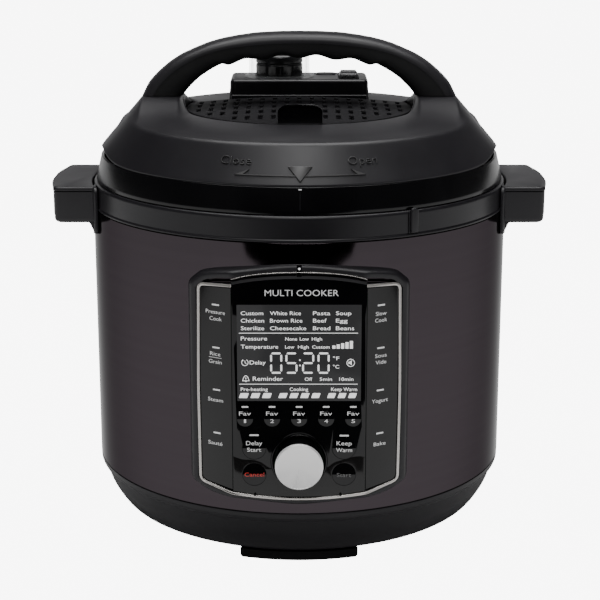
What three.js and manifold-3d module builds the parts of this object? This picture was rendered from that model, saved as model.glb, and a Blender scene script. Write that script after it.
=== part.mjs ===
// Electric pressure cooker, six-quart class, in millimetres.
// +Z is up, the control panel faces -Y and the side handles lie along X.
// The origin is on the pot's axis, on the surface that the feet stand on.

import * as THREE from 'three';
import { mergeVertices } from 'three/addons/utils/BufferGeometryUtils.js';
import Module from 'manifold-3d';

const wasm = await Module();
wasm.setup();

// ---------------------------------------------------------------- driving dimensions

const SEGMENTS = 48; // sides of the outer pieces turned about the pot's axis
const INNER_SEGMENTS = 24; // sides of the well, the pot and what lies between them and the lid
const GAP = 0.3; // clearance between two pieces that rest against each other

const BODY_R = 137; // outside of the steel housing
const SKIN = 1; // thickness of the housing's sheet
const BASE_FLOOR = 6.2; // underside of the base tray
const BASE_TOP = 39.4;
const COLLAR_BOTTOM = 211.4;
const COLLAR_TOP = 227;

const FOOT_OUTER_R = 119.3;
const FOOT_INNER_R = 101;
const WIDE_FOOT_HALF_ANGLE = 18.5; // degrees, front and rear
const SIDE_FOOT_HALF_ANGLE = 5.5;

const WELL_R = 114.5; // inside of the heated well
const WELL_FLANGE_Z = 217.2;
const POT_R = 110.5; // outside of the removable pot
const POT_FLOOR = 56.6;
const POT_RIM_R = 120;
const POT_RIM_Z = 218.6;
const HEATER_R = 86;
const SENSOR_R = 9;

const LUGS = 6; // bayonet lugs round the lid and round the body
const LUG_HALF_ANGLE = 12.5;
const LID_RIM_Z = 227.5;
const LID_PLATE_R = 118.6;
const DOME_Z = 273.6; // crown of the lid cover

const DIFFUSER_R = 74.6;
const DIFFUSER_BACK_Y = 21;
const DIFFUSER_FLOOR = 269.5;
const DIFFUSER_RIM_Z = 272.4;
const DIFFUSER_RISE = 4.2;
const VENT_PITCH_X = 17;
const VENT_PITCH_Y = 13.5;

const HANDLE_HALF_DEPTH = 14;
const HANDLE_FOOT_Z = 281;
const HANDLE_CREST = [
  [0, 322.2], [28, 321.3], [50, 317.7], [68, 311.6], [84, 303.2], [95, 293.6], [102.6, HANDLE_FOOT_Z],
];
const HANDLE_SEAM = [
  [0, 315.7], [28, 314.4], [50, 311.2], [66, 306.4], [79, 299.4], [89, 290.6], [95.5, HANDLE_FOOT_Z],
];

const BLOCK = { halfX: 46.8, y0: 25, y1: 67, z0: 273.9, z1: 287.2 };
const VENT_AT = [-13.6, 45]; // plan position of the steam release valve
const FLOAT_AT = [19.4, 57]; // plan position of the float valve

const PANEL_FRONT_Y = -139.5;
const PANEL_FOLD_X = 41; // the side strips fold back from here
const PANEL_FOLD_ANGLE = 28; // degrees
const KNOB_Z = 75.4;
const KNOB_R = 15.1;
const KNOB_HOLE_R = 17.6;
const FAV_Z = 102.5;
const FAV_PITCH = 16.4;
const FAV_R = 4.9;
const KEY_X = 27.4;
const UPPER_KEY_Z = 83.8;
const LOWER_KEY_Z = 66.7;
const KEY_R = 7.2;

const HANDLE_REACH = 163.5; // side handle, out from the axis
const HANDLE_HALF_SPAN = 42;
const HANDLE_TOP = 226.5;
const HANDLE_BOTTOM = 202.5;

const COLLECTOR_BACK_Y = 151;

// ---------------------------------------------------------------- finishes

const FINISH = {
  blackPlastic: { color: 0x1b1a1c, roughness: 0.45, metalness: 0 },
  glossBlack: { color: 0x08080a, roughness: 0.08, metalness: 0 },
  blackSteel: { color: 0x3a3337, roughness: 0.35, metalness: 0.8 },
  steel: { color: 0xb9bbbd, roughness: 0.3, metalness: 1 },
  aluminium: { color: 0xc9cacb, roughness: 0.35, metalness: 1 },
  silver: { color: 0xccc8c4, roughness: 0.3, metalness: 0.9 },
  rubber: { color: 0x141415, roughness: 0.85, metalness: 0 },
  silicone: { color: 0xdadcdc, roughness: 0.6, metalness: 0 },
  clear: { color: 0xe8eef0, roughness: 0.05, metalness: 0, transparent: true, opacity: 0.35 },
  board: { color: 0x1f5a34, roughness: 0.6, metalness: 0 },
  display: { color: 0x2c2c2e, roughness: 0.3, metalness: 0 },
  brass: { color: 0xb8944a, roughness: 0.35, metalness: 1 },
};

// ---------------------------------------------------------------- solids

/** Closed geometry with shared vertices, no empty triangles and its faces pointing out. */
function weld(geometry) {
  const bare = geometry.clone();
  bare.deleteAttribute('normal');
  bare.deleteAttribute('uv');
  const merged = mergeVertices(bare, 1e-4);
  const position = merged.attributes.position;
  const index = Array.from(merged.index.array);
  const kept = [];
  let volume = 0;
  const corner = [new THREE.Vector3(), new THREE.Vector3(), new THREE.Vector3()];
  for (let i = 0; i < index.length; i += 3) {
    const triangle = index.slice(i, i + 3);
    if (new Set(triangle).size < 3) continue;
    triangle.forEach((vertex, n) => corner[n].fromBufferAttribute(position, vertex));
    volume += corner[0].dot(corner[1].clone().cross(corner[2]));
    kept.push(triangle);
  }
  const facing = volume < 0 ? kept.map((triangle) => triangle.reverse()) : kept;
  merged.setIndex(facing.flat());
  return merged;
}

/** The solid of a closed geometry. */
function solid(geometry) {
  const closed = weld(geometry);
  const mesh = new wasm.Mesh({
    numProp: 3,
    vertProperties: new Float32Array(closed.attributes.position.array),
    triVerts: new Uint32Array(closed.index.array),
  });
  return new wasm.Manifold(mesh);
}

/** The geometry of a solid. */
function surface(body) {
  const mesh = body.getMesh();
  const geometry = new THREE.BufferGeometry();
  geometry.setAttribute('position', new THREE.BufferAttribute(new Float32Array(mesh.vertProperties), 3));
  geometry.setIndex(Array.from(mesh.triVerts));
  return geometry;
}

function join(bodies) {
  return bodies.reduce((whole, body) => whole.add(body));
}

function cut(body, tools) {
  return tools.reduce((rest, tool) => rest.subtract(tool), body);
}

/** Box between two corners. */
function box(low, high) {
  const size = high.map((value, n) => value - low[n]);
  const middle = high.map((value, n) => (value + low[n]) / 2);
  return solid(new THREE.BoxGeometry(...size).translate(...middle));
}

/** Closed [radius, z] outline turned about Z. */
function turned(outline, segments = SEGMENTS) {
  const points = outline.map(([r, z]) => new THREE.Vector2(r, z));
  const onAxis = outline[0][0] === 0 && outline.at(-1)[0] === 0;
  if (!onAxis) points.push(points[0].clone());
  return solid(new THREE.LatheGeometry(points, segments).rotateX(Math.PI / 2));
}

/** Closed [radius, z] outline turned about an upright axis through a plan point. */
function turnedAt([x, y], outline, segments = 20) {
  return turned(outline, segments).translate([x, y, 0]);
}

/** Upright cylinder. */
function post([x, y], r, z0, z1, segments = 16) {
  return turnedAt([x, y], [[0, z0], [r, z0], [r, z1], [0, z1]], segments);
}

/** Shape in X and Z, carried along Y. */
function carriedY(shape, y0, y1, curveSegments = 8) {
  const geometry = new THREE.ExtrudeGeometry(shape, { depth: y1 - y0, bevelEnabled: false, curveSegments });
  return solid(geometry.rotateX(Math.PI / 2).translate(0, y1, 0));
}

/** Shape in X and Y, carried along Z. */
function carriedZ(shape, z0, z1, curveSegments = 8) {
  const geometry = new THREE.ExtrudeGeometry(shape, { depth: z1 - z0, bevelEnabled: false, curveSegments });
  return solid(geometry.translate(0, 0, z0));
}

/** Cylinder along Y. */
function pin([x, z], r, y0, y1, segments = 24) {
  return solid(
    new THREE.CylinderGeometry(r, r, y1 - y0, segments).translate(x, (y0 + y1) / 2, z),
  );
}

/** Shape through a closed list of points. */
function polygon(points) {
  return new THREE.Shape(points.map(([x, y]) => new THREE.Vector2(x, y)));
}

/** Rectangle with round corners, between two corners. */
function roundedRectangle([x0, y0], [x1, y1], r) {
  const shape = new THREE.Shape();
  shape.moveTo(x0 + r, y0);
  shape.lineTo(x1 - r, y0);
  shape.absarc(x1 - r, y0 + r, r, -Math.PI / 2, 0);
  shape.absarc(x1 - r, y1 - r, r, 0, Math.PI / 2);
  shape.absarc(x0 + r, y1 - r, r, Math.PI / 2, Math.PI);
  shape.absarc(x0 + r, y0 + r, r, Math.PI, Math.PI * 1.5);
  return shape;
}

/** Part of a ring, centred on a direction given in degrees from +X. */
function sector(r0, r1, direction, halfAngle, z0, z1) {
  const a0 = THREE.MathUtils.degToRad(direction - halfAngle);
  const a1 = THREE.MathUtils.degToRad(direction + halfAngle);
  const shape = new THREE.Shape();
  shape.absarc(0, 0, r1, a0, a1, false);
  shape.absarc(0, 0, r0, a1, a0, true);
  return carriedZ(shape, z0, z1, Math.max(2, Math.round(halfAngle / 2)));
}

/** One sector per bayonet lug. */
function lugs(r0, r1, z0, z1) {
  return Array.from({ length: LUGS }, (_, n) => (
    sector(r0, r1, (n + 0.5) * (360 / LUGS), LUG_HALF_ANGLE, z0, z1)
  ));
}

/** Full cylinder of the housing, a little larger, to cut what sits against it. */
function housingCutter(clearance) {
  return turned([[0, -10], [BODY_R + clearance, -10], [BODY_R + clearance, 400], [0, 400]]);
}

// ---------------------------------------------------------------- assembly

const cooker = new THREE.Group();

/** Names a solid and puts it in the assembly. */
function add(name, body, finish) {
  const mesh = new THREE.Mesh(surface(body), new THREE.MeshStandardMaterial(finish));
  mesh.name = name;
  cooker.add(mesh);
}

function addBase() {
  const tray = turned([
    [0, BASE_FLOOR], [113, BASE_FLOOR], [120.5, 8], [124.5, 12.5], [130.8, 22.5], [134.2, 33.2],
    [134.9, 33.8], [136.9, BASE_TOP], [131, BASE_TOP], [119.5, 12.5], [112, 9], [0, 9],
  ]);
  const ventSlots = Array.from({ length: 8 }, (_, n) => (
    sector(52, 84, n * 45 + 22.5, 3, BASE_FLOOR - 1, 10)
  ));
  add('base_tray', cut(tray, ventSlots), FINISH.blackPlastic);

  const feet = [
    ['foot_front', -90, WIDE_FOOT_HALF_ANGLE],
    ['foot_rear', 90, WIDE_FOOT_HALF_ANGLE],
    ['foot_left', 180, SIDE_FOOT_HALF_ANGLE],
    ['foot_right', 0, SIDE_FOOT_HALF_ANGLE],
  ];
  for (const [name, direction, halfAngle] of feet) {
    add(name, sector(FOOT_INNER_R, FOOT_OUTER_R, direction, halfAngle, 0, BASE_FLOOR - GAP), FINISH.rubber);
  }
}

function addHousing() {
  const sheet = turned([
    [BODY_R - SKIN, BASE_TOP + 0.4], [BODY_R, BASE_TOP + 0.4],
    [BODY_R, COLLAR_BOTTOM - 0.4], [BODY_R - SKIN, COLLAR_BOTTOM - 0.4],
  ]);
  const panelWindow = box([-50, -150, 53], [50, -100, 182]);
  const inletWindow = box([-16.2, 100, 47.5], [16.2, 150, 74.5]);
  add('outer_housing', cut(sheet, [panelWindow, inletWindow]), FINISH.blackSteel);

  const collar = turned([
    [BODY_R, COLLAR_BOTTOM], [136.3, 226.2], [135.6, COLLAR_TOP], [130.5, COLLAR_TOP], [130.5, 221.4],
    [126.2, 221.4], [126.2, 206], [134.8, 206], [134.8, COLLAR_BOTTOM],
  ]);
  const indexSlit = box([-0.4, -140, 213], [0.4, -135.6, 228]).rotate([0, 0, 28.8]);
  add('upper_collar', cut(collar, [indexSlit]), FINISH.blackPlastic);

  const channel = turned([[125.6, 221.8], [130.1, 221.8], [130.1, 226.6], [125.6, 226.6]], INNER_SEGMENTS);
  add('bayonet_ring', join([channel, ...lugs(119.6, 126, 224.9, 226.6)]), FINISH.steel);
}

function addWell() {
  const t = 1;
  const well = turned([
    [90, 45], [WELL_R + t, 45], [WELL_R + t, WELL_FLANGE_Z], [125.8, WELL_FLANGE_Z],
    [125.8, WELL_FLANGE_Z + t], [WELL_R, WELL_FLANGE_Z + t], [WELL_R, 45 + t], [90, 45 + t],
  ], INNER_SEGMENTS);
  add('heated_well', well, FINISH.aluminium);
  const heater = turned([
    [SENSOR_R + 0.7, 46], [HEATER_R, 46], [HEATER_R, 54], [HEATER_R - 2, POT_FLOOR - 0.4],
    [SENSOR_R + 0.7, POT_FLOOR - 0.4],
  ], INNER_SEGMENTS);
  add('heating_plate', heater, FINISH.aluminium);
  const sensor = post([0, 0], SENSOR_R, 44, POT_FLOOR - 0.4);
  add('temperature_sensor', sensor, FINISH.aluminium);
  add('power_board', box([-48, 40, 16], [48, 92, 17.6]), FINISH.board);
}

function addPot() {
  const pot = turned([
    [0, POT_FLOOR], [98, POT_FLOOR], [106, 59], [POT_R, 66], [POT_R, POT_RIM_Z], [POT_RIM_R, POT_RIM_Z],
    [POT_RIM_R, POT_RIM_Z + 1.6], [POT_R - 1.2, POT_RIM_Z + 1.6], [POT_R - 1.2, 66.4], [105.2, 60.4],
    [97.6, POT_FLOOR + 1.6], [0, POT_FLOOR + 1.6],
  ], INNER_SEGMENTS);
  add('inner_pot', pot, FINISH.steel);
}

// ---------------------------------------------------------------- side handles

/** Plan outline of the side handle that points to +X. */
function sideHandlePlan(inset) {
  const y = HANDLE_HALF_SPAN - inset;
  const corner = 157.5 - inset;
  const shape = new THREE.Shape();
  shape.moveTo(126, -y);
  shape.lineTo(corner - 4, -y);
  shape.quadraticCurveTo(corner + 0.6, -y, corner + 1.8, -y + 6);
  shape.quadraticCurveTo(HANDLE_REACH - inset, -14, HANDLE_REACH - inset, 0);
  shape.quadraticCurveTo(HANDLE_REACH - inset, 14, corner + 1.8, y - 6);
  shape.quadraticCurveTo(corner + 0.6, y, corner - 4, y);
  shape.lineTo(126, y);
  return shape;
}

function addSideHandles() {
  const capZ = HANDLE_TOP - 2.6;
  const wall = housingCutter(0.35);
  const root = sector(130, 139.6, 0, 19, 195.4, HANDLE_TOP + 0.2);
  const grip = carriedZ(sideHandlePlan(0), HANDLE_BOTTOM, capZ - GAP);
  const fingerPocket = box([142.5, -34, HANDLE_BOTTOM - 1], [156.5, 34, 215]);
  const body = cut(join([root, grip]), [wall, fingerPocket]);
  const capTool = sector(120, 140, 0, 25, 180, 240);
  const cap = cut(carriedZ(sideHandlePlan(0), capZ, HANDLE_TOP), [wall, capTool]);
  for (const [side, turn] of [['right', 0], ['left', 180]]) {
    add(`handle_${side}`, body.rotate([0, 0, turn]), FINISH.blackPlastic);
    add(`handle_cap_${side}`, cap.rotate([0, 0, turn]), FINISH.blackPlastic);
  }
}

// ---------------------------------------------------------------- control panel

/** Everything behind the panel's folded face, pushed back by an offset. */
function behindPanelFace(offset) {
  const reach = 80;
  const fold = Math.tan(THREE.MathUtils.degToRad(PANEL_FOLD_ANGLE)) * (reach - PANEL_FOLD_X);
  const y = PANEL_FRONT_Y + offset;
  const plan = polygon([
    [-reach, y + fold], [-PANEL_FOLD_X, y], [PANEL_FOLD_X, y], [reach, y + fold], [reach, -90], [-reach, -90],
  ]);
  return carriedZ(plan, 0, 240);
}

/** Panel outline in X and Z, shrunk by an inset; arched above and below between straight sides. */
function panelOutline(inset) {
  const side = 66 - inset;
  const shoulder = 187.4 - inset;
  const foot = 56.5 + inset;
  const shape = new THREE.Shape();
  shape.moveTo(side, foot + 5);
  shape.lineTo(side, shoulder - 6);
  shape.quadraticCurveTo(side, shoulder + 3, side - 9, shoulder + 4.6);
  shape.quadraticCurveTo(24, 198 - inset, 0, 198 - inset);
  shape.quadraticCurveTo(-24, 198 - inset, -side + 9, shoulder + 4.6);
  shape.quadraticCurveTo(-side, shoulder + 3, -side, shoulder - 6);
  shape.lineTo(-side, foot + 5);
  shape.quadraticCurveTo(-side, foot - 2, -side + 9, foot - 4.4);
  shape.quadraticCurveTo(-24, 46.6 + inset, 0, 46.6 + inset);
  shape.quadraticCurveTo(24, 46.6 + inset, side - 9, foot - 4.4);
  shape.quadraticCurveTo(side, foot - 2, side, foot + 5);
  return shape;
}

/** Slab that follows the folded panel face inside an outline. */
function panelSlab(shape, front, back) {
  return carriedY(shape, -150, -100, 4).intersect(behindPanelFace(front)).subtract(behindPanelFace(back));
}

/** Places and sizes of the nine round keys: name, [x, z], radius. */
function keyList() {
  const favourites = [1, 2, 3, 4, 5].map((n) => [`key_fav_${n}`, [(n - 3) * FAV_PITCH, FAV_Z], FAV_R]);
  return [
    ...favourites,
    ['key_delay_start', [-KEY_X, UPPER_KEY_Z], KEY_R],
    ['key_keep_warm', [KEY_X, UPPER_KEY_Z], KEY_R],
    ['key_cancel', [-KEY_X, LOWER_KEY_Z], KEY_R],
    ['key_start', [KEY_X, LOWER_KEY_Z], KEY_R],
  ];
}

function addPanel() {
  const trimInset = 5.2;
  const trimWidth = 1.7;
  const wall = housingCutter(0.35);
  const tub = box([-48, -150, 54.2], [48, -100, 180]);
  const bezel = carriedY(panelOutline(0), -150, -116, 4).intersect(behindPanelFace(0));
  const tray = panelSlab(panelOutline(trimInset - GAP), -5, 2.1);
  add('panel_bezel', cut(bezel, [wall, tray, tub]), FINISH.blackPlastic);

  const ring = panelSlab(panelOutline(trimInset), -0.3, 1.8);
  const ringHole = carriedY(panelOutline(trimInset + trimWidth), -150, -100, 4);
  add('panel_trim', ring.subtract(ringHole), FINISH.silver);

  const insert = panelSlab(panelOutline(trimInset + trimWidth + GAP), 0, 1.8);
  const middle = box([-PANEL_FOLD_X + 0.6, -150, 40], [PANEL_FOLD_X - 0.6, -100, 200]);
  const rightHalf = box([PANEL_FOLD_X - 0.3, -150, 40], [80, -100, 200]);
  const keyHoles = keyList().map(([, at, r]) => pin(at, r + GAP, -150, -130, 20));
  const knobHole = pin([0, KNOB_Z], KNOB_HOLE_R, -150, -130, 32);
  const lens = cut(insert.intersect(middle), [...keyHoles, knobHole]);
  add('panel_lens', lens, FINISH.glossBlack);
  add('side_strip_right', insert.intersect(rightHalf), FINISH.blackPlastic);
  add('side_strip_left', insert.intersect(rightHalf.mirror([1, 0, 0])), FINISH.blackPlastic);

  for (const [name, at, r] of keyList()) {
    add(name, pin(at, r, PANEL_FRONT_Y - 0.5, -137.3, 20), FINISH.glossBlack);
  }
  add('display_module', box([-39, -137.2, 111], [39, -133.6, 177]), FINISH.display);
  add('control_board', box([-44, -128, 60], [44, -126.4, 178]), FINISH.board);
}

function addKnob() {
  const at = [0, KNOB_Z];
  const bore = 5.4;
  const ring = cut(
    join([
      pin(at, KNOB_HOLE_R - GAP, PANEL_FRONT_Y - 0.8, -135, 32),
      pin(at, KNOB_HOLE_R + 3, -137.2, -135, 32),
    ]),
    [pin(at, KNOB_R + 0.4, -150, -130, 32)],
  );
  add('knob_ring', ring, FINISH.glossBlack);
  add('knob_encoder', box([-8, -130.5, KNOB_Z - 8], [8, -128.3, KNOB_Z + 8]), FINISH.steel);
  const rotor = cut(
    join([pin(at, 10, -134.6, -130.8), pin(at, bore - GAP, -145.8, -131)]),
    [box([-10, -150, KNOB_Z + 4.1], [10, -134.8, KNOB_Z + 10])],
  );
  add('knob_rotor', rotor, FINISH.brass);
  const knob = cut(
    join([pin(at, KNOB_R, -149.6, -137.2, 32), pin(at, KNOB_R - 1.2, -151, -149.5, 32)]),
    [pin(at, bore, -147.4, -130), pin(at, 12.4, -143, -130)],
  );
  const hub = cut(pin(at, 8, -143.1, -137.2), [pin(at, bore, -150, -130)]);
  add('knob', knob.add(hub), FINISH.aluminium);
}

// ---------------------------------------------------------------- rear

function addRear() {
  const wall = housingCutter(0.35);
  const recess = box([-12.2, 121, 52.4], [12.2, 145, 69.6]);
  const flange = carriedY(roundedRectangle([-19, 44.6], [19, 77.4], 3), 130, 139.2);
  const core = box([-15.5, 118, 48.2], [15.5, 137, 73.8]);
  add('inlet_socket', cut(join([flange.subtract(wall), core]), [recess]), FINISH.blackPlastic);
  const pins = [['live', -5.4, 59], ['neutral', 5.4, 59], ['earth', 0, 64.4]];
  for (const [name, x, z] of pins) {
    add(`inlet_pin_${name}`, box([x - 1.1, 121.3, z - 1.9], [x + 1.1, 134, z + 1.9]), FINISH.brass);
  }

  const holder = cut(sector(BODY_R - 4, BODY_R + 3.2, 90, 9, 168, 205), [wall]);
  add('collector_holder', holder, FINISH.blackPlastic);
  const cupWall = housingCutter(3.6);
  const cup = cut(carriedY(roundedRectangle([-28, 146], [28, 203], 4), 130, COLLECTOR_BACK_Y), [cupWall]);
  const innerWall = housingCutter(5.2);
  const well = cut(box([-26.4, 130, 148], [26.4, COLLECTOR_BACK_Y - 1.6, 210]), [innerWall]);
  add('condensation_collector', cut(cup, [well]), FINISH.clear);
}

// ---------------------------------------------------------------- lid

function addLidPlate() {
  const pan = turned([
    [0, 233], [LID_PLATE_R - 1.2, 233], [LID_PLATE_R - 1.2, 221], [LID_PLATE_R, 221],
    [LID_PLATE_R, 234.2], [0, 234.2],
  ], INNER_SEGMENTS);
  const holes = [post(VENT_AT, 4.4, 230, 240), post(FLOAT_AT, 3.1, 230, 240)];
  add('lid_plate', cut(join([pan, ...lugs(118, 123.8, 221, 224.3)]), holes), FINISH.steel);

  const gasket = turned([
    [108, 220.7], [116, 220.7], [116, 223.4], [113.6, 224.6], [113.6, 228.6], [116, 230.2],
    [116, 232.6], [109.4, 232.6],
  ], INNER_SEGMENTS);
  add('sealing_ring', gasket, FINISH.silicone);
  const rack = turned([[104.4, 225], [106.2, 225], [106.2, 232.7], [104.4, 232.7]], INNER_SEGMENTS);
  add('gasket_rack', rack, FINISH.steel);
  const shield = turnedAt(VENT_AT, [
    [0, 223], [8.4, 223], [12, 226.4], [12, 232.7], [11, 232.7], [11, 226.8], [8, 224], [0, 224],
  ]);
  add('anti_block_shield', shield, FINISH.steel);
}

function addLidCover() {
  const shell = turned([
    [134.4, LID_RIM_Z], [131.8, 243], [130.6, 244.6], [116.8, 266], [112, 268.3], [98, 270.6],
    [0, DOME_Z], [0, 266.3], [111.4, 264.4], [127.2, 243.6], [128.6, 236.6],
    [96, 236.6], [96, 234.6], [130.4, 234.6], [131.6, LID_RIM_Z],
  ]);
  const bossShape = polygon([[77, 268], [77, 280.7], [103, 280.7], [114.6, 268]]);
  const rightBoss = carriedY(bossShape, -HANDLE_HALF_DEPTH - 1.6, HANDLE_HALF_DEPTH + 1.6);
  const recess = carriedZ(diffuserPlan(1.7), DIFFUSER_FLOOR - GAP, 290);
  const holes = [post(VENT_AT, 4.4, 260, 280), post(FLOAT_AT, 3.1, 260, 280)];
  const cover = cut(join([shell, rightBoss, rightBoss.mirror([1, 0, 0])]), [recess, ...holes]);
  add('lid_cover', cover, FINISH.blackPlastic);
}

/** Round plan cut straight behind, grown by a margin. */
function diffuserPlan(margin) {
  const r = DIFFUSER_R + margin;
  const back = DIFFUSER_BACK_Y + margin;
  const half = Math.asin(back / r);
  const shape = new THREE.Shape();
  shape.absarc(0, 0, r, Math.PI - half, Math.PI * 2 + half, false);
  return shape;
}

/** One upright cutter per steam slot, in rows across the diffuser. */
function steamSlots() {
  const slots = [];
  for (let row = -4; row <= 1; row += 1) {
    for (let column = -4; column <= 4; column += 1) {
      const x = column * VENT_PITCH_X;
      const y = row * VENT_PITCH_Y - 1;
      const outside = Math.hypot(Math.abs(x) + 2, Math.abs(y) + 4) > DIFFUSER_R - 3;
      const underTab = Math.abs(x) < 18 && y < -52;
      if (outside || underTab) continue;
      slots.push(box([x - 1.7, y - 3.6, 265], [x + 1.7, y + 3.6, 285]));
    }
  }
  return slots;
}

function addDiffuser() {
  const dome = [1, 0.75, 0.4, 0].map((part) => (
    [DIFFUSER_R * part, DIFFUSER_RIM_Z + DIFFUSER_RISE * (1 - part * part)]
  ));
  const lens = turned([[0, DIFFUSER_FLOOR], [DIFFUSER_R, DIFFUSER_FLOOR], ...dome]);
  const plate = lens.intersect(carriedZ(diffuserPlan(-0.05), 260, 290, 24));
  const tabShape = roundedRectangle([-15, 262], [15, 284.3], 7);
  const tab = carriedY(tabShape, -DIFFUSER_R + 0.3, -DIFFUSER_R + 4.2);
  const underside = box([-20, -80, 255], [20, -60, DIFFUSER_FLOOR]);
  const root = box([-15, -DIFFUSER_R + 1, DIFFUSER_FLOOR], [15, -66, DIFFUSER_RIM_Z]);
  const ridge = join([tab.subtract(underside), root]);
  add('steam_diffuser', cut(plate, steamSlots()).add(ridge), FINISH.blackPlastic);
}

function addValveBlock() {
  const { halfX, y0, y1, z0, z1 } = BLOCK;
  const mass = carriedZ(roundedRectangle([-halfX, y0], [halfX, y1], 4), z0, z1);
  const pockets = [
    post(VENT_AT, 18.4, 277, 290, 24),
    post(VENT_AT, 4.4, 260, 290),
    post(FLOAT_AT, 3.1, 260, 290),
    carriedZ(roundedRectangle([12.6, 53.4], [26.2, 60.6], 3.4), 280.5, 290),
    box([26.6, 29.6, 282.6], [40.8, 63.4, 290]),
  ];
  add('valve_block', cut(mass, pockets), FINISH.blackPlastic);

  const guard = turnedAt(VENT_AT, [
    [17, 287.5], [23.6, 287.5], [23.6, 288.7], [20.7, 288.9], [20.7, 306], [19.4, 306], [19.4, 288.7],
    [17, 288.7],
  ], 24);
  add('clear_valve_guard', guard, FINISH.clear);
  const pipe = turnedAt(VENT_AT, [[2.6, 231], [4, 231], [4, 296.4], [2.6, 296.4]]);
  add('steam_pipe', pipe, FINISH.steel);
  const cap = turnedAt(VENT_AT, [
    [0, 303.8], [12.6, 303.4], [16.1, 300.8], [16.1, 278.4], [13.8, 278.4], [13.8, 297.2], [0, 297.2],
  ]);
  add('steam_release_valve', cap, FINISH.blackPlastic);
  const float = turnedAt(FLOAT_AT, [[0, 226], [5, 226], [5, 229.4], [2.7, 229.4], [2.7, 283], [0, 283]], 16);
  add('float_valve', float, FINISH.steel);
  const buttonSide = polygon([
    [32, 282.9], [32, 289.4], [35.4, 291.6], [47, 291.6], [50, 289.8], [50, 282.9],
  ]);
  const slider = carriedY(buttonSide, -6.7, 6.7).rotate([0, 0, 90]).translate([33.7, 0, 0]);
  add('vent_slide_button', slider, FINISH.glossBlack);
}

// ---------------------------------------------------------------- lid handle

/** Both halves of a list of [x, z] points given for x of 0 and more, from left to right. */
function mirrored(points) {
  const left = points.slice(1).reverse().map(([x, z]) => [-x, z]);
  return [...left, ...points];
}

/** Underside of the grip, left to right: finger waves between two smooth bends. */
function gripUnderside() {
  const waves = [];
  for (let x = 0; x <= 46; x += 5.75) {
    waves.push([x, 306.4 - 0.0019 * x * x - 1.1 * Math.cos((2 * Math.PI * x) / 23)]);
  }
  return mirrored([...waves, [57, 297.6], [66, 292.4], [72.4, 287], [75.6, HANDLE_FOOT_Z]]);
}

function addLidHandle() {
  const seam = mirrored(HANDLE_SEAM);
  const crest = mirrored(HANDLE_CREST);
  const top = polygon([...crest, ...[...seam].reverse()]);
  const lowered = seam.map(([x, z]) => [x * 0.997, z <= HANDLE_FOOT_Z ? z : z - GAP]);
  const grip = polygon([...lowered, ...gripUnderside().reverse()]);
  const depth = HANDLE_HALF_DEPTH;
  add('handle_top', carriedY(top, -depth, depth), FINISH.blackPlastic);
  add('handle_grip', carriedY(grip, -depth, depth), FINISH.blackPlastic);
}

addBase();
addHousing();
addWell();
addPot();
addSideHandles();
addPanel();
addKnob();
addRear();
addLidPlate();
addLidCover();
addDiffuser();
addValveBlock();
addLidHandle();

export default cooker;
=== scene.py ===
"""Electric pressure cooker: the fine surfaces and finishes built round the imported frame.

Sizes are in millimetres and are turned into metres when a surface becomes a mesh.
X runs to the right of someone facing the control panel, Y runs away from them, Z is up.
"""

import logging
import math
from dataclasses import dataclass
from enum import Enum
from typing import Callable, Sequence

import bmesh
import bpy
import numpy as np
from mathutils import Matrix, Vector


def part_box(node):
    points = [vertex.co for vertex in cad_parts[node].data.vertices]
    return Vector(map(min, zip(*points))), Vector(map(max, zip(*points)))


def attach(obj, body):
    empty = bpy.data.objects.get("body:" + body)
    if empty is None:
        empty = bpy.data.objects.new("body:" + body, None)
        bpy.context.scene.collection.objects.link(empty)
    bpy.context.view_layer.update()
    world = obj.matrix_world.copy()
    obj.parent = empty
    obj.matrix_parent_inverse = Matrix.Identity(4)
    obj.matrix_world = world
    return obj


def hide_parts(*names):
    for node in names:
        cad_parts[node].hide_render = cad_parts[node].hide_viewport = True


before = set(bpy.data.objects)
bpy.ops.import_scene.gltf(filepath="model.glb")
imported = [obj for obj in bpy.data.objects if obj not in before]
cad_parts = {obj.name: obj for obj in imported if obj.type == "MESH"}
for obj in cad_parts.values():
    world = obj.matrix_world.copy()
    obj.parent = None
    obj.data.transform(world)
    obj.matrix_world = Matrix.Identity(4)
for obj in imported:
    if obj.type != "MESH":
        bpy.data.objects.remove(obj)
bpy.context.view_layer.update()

Array = np.ndarray
MM = 0.001
FINE = 192  # segments round the large turned pieces
LOG = logging.getLogger("cooker")


# ---- places taken from the frame


def low(node: str, axis: int) -> float:
    """Lowest coordinate of a CAD node along an axis, in millimetres."""
    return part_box(node)[0][axis] / MM


def high(node: str, axis: int) -> float:
    """Highest coordinate of a CAD node along an axis, in millimetres."""
    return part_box(node)[1][axis] / MM


def middle(node: str) -> Array:
    """Centre of a CAD node's box, in millimetres."""
    return (np.array(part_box(node)[0]) + np.array(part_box(node)[1])) / (2 * MM)


WALL_R = 137.35  # just outside the steel wall, where the handles and the cup's holder sit
FACE_Y = low("panel_lens", 1)  # front of the panel's level middle
KNOB_Z = middle("knob_ring")[2]
VENT = middle("steam_pipe")[:2]
FLOAT = middle("float_valve")[:2]


# ---- surfaces


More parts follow.
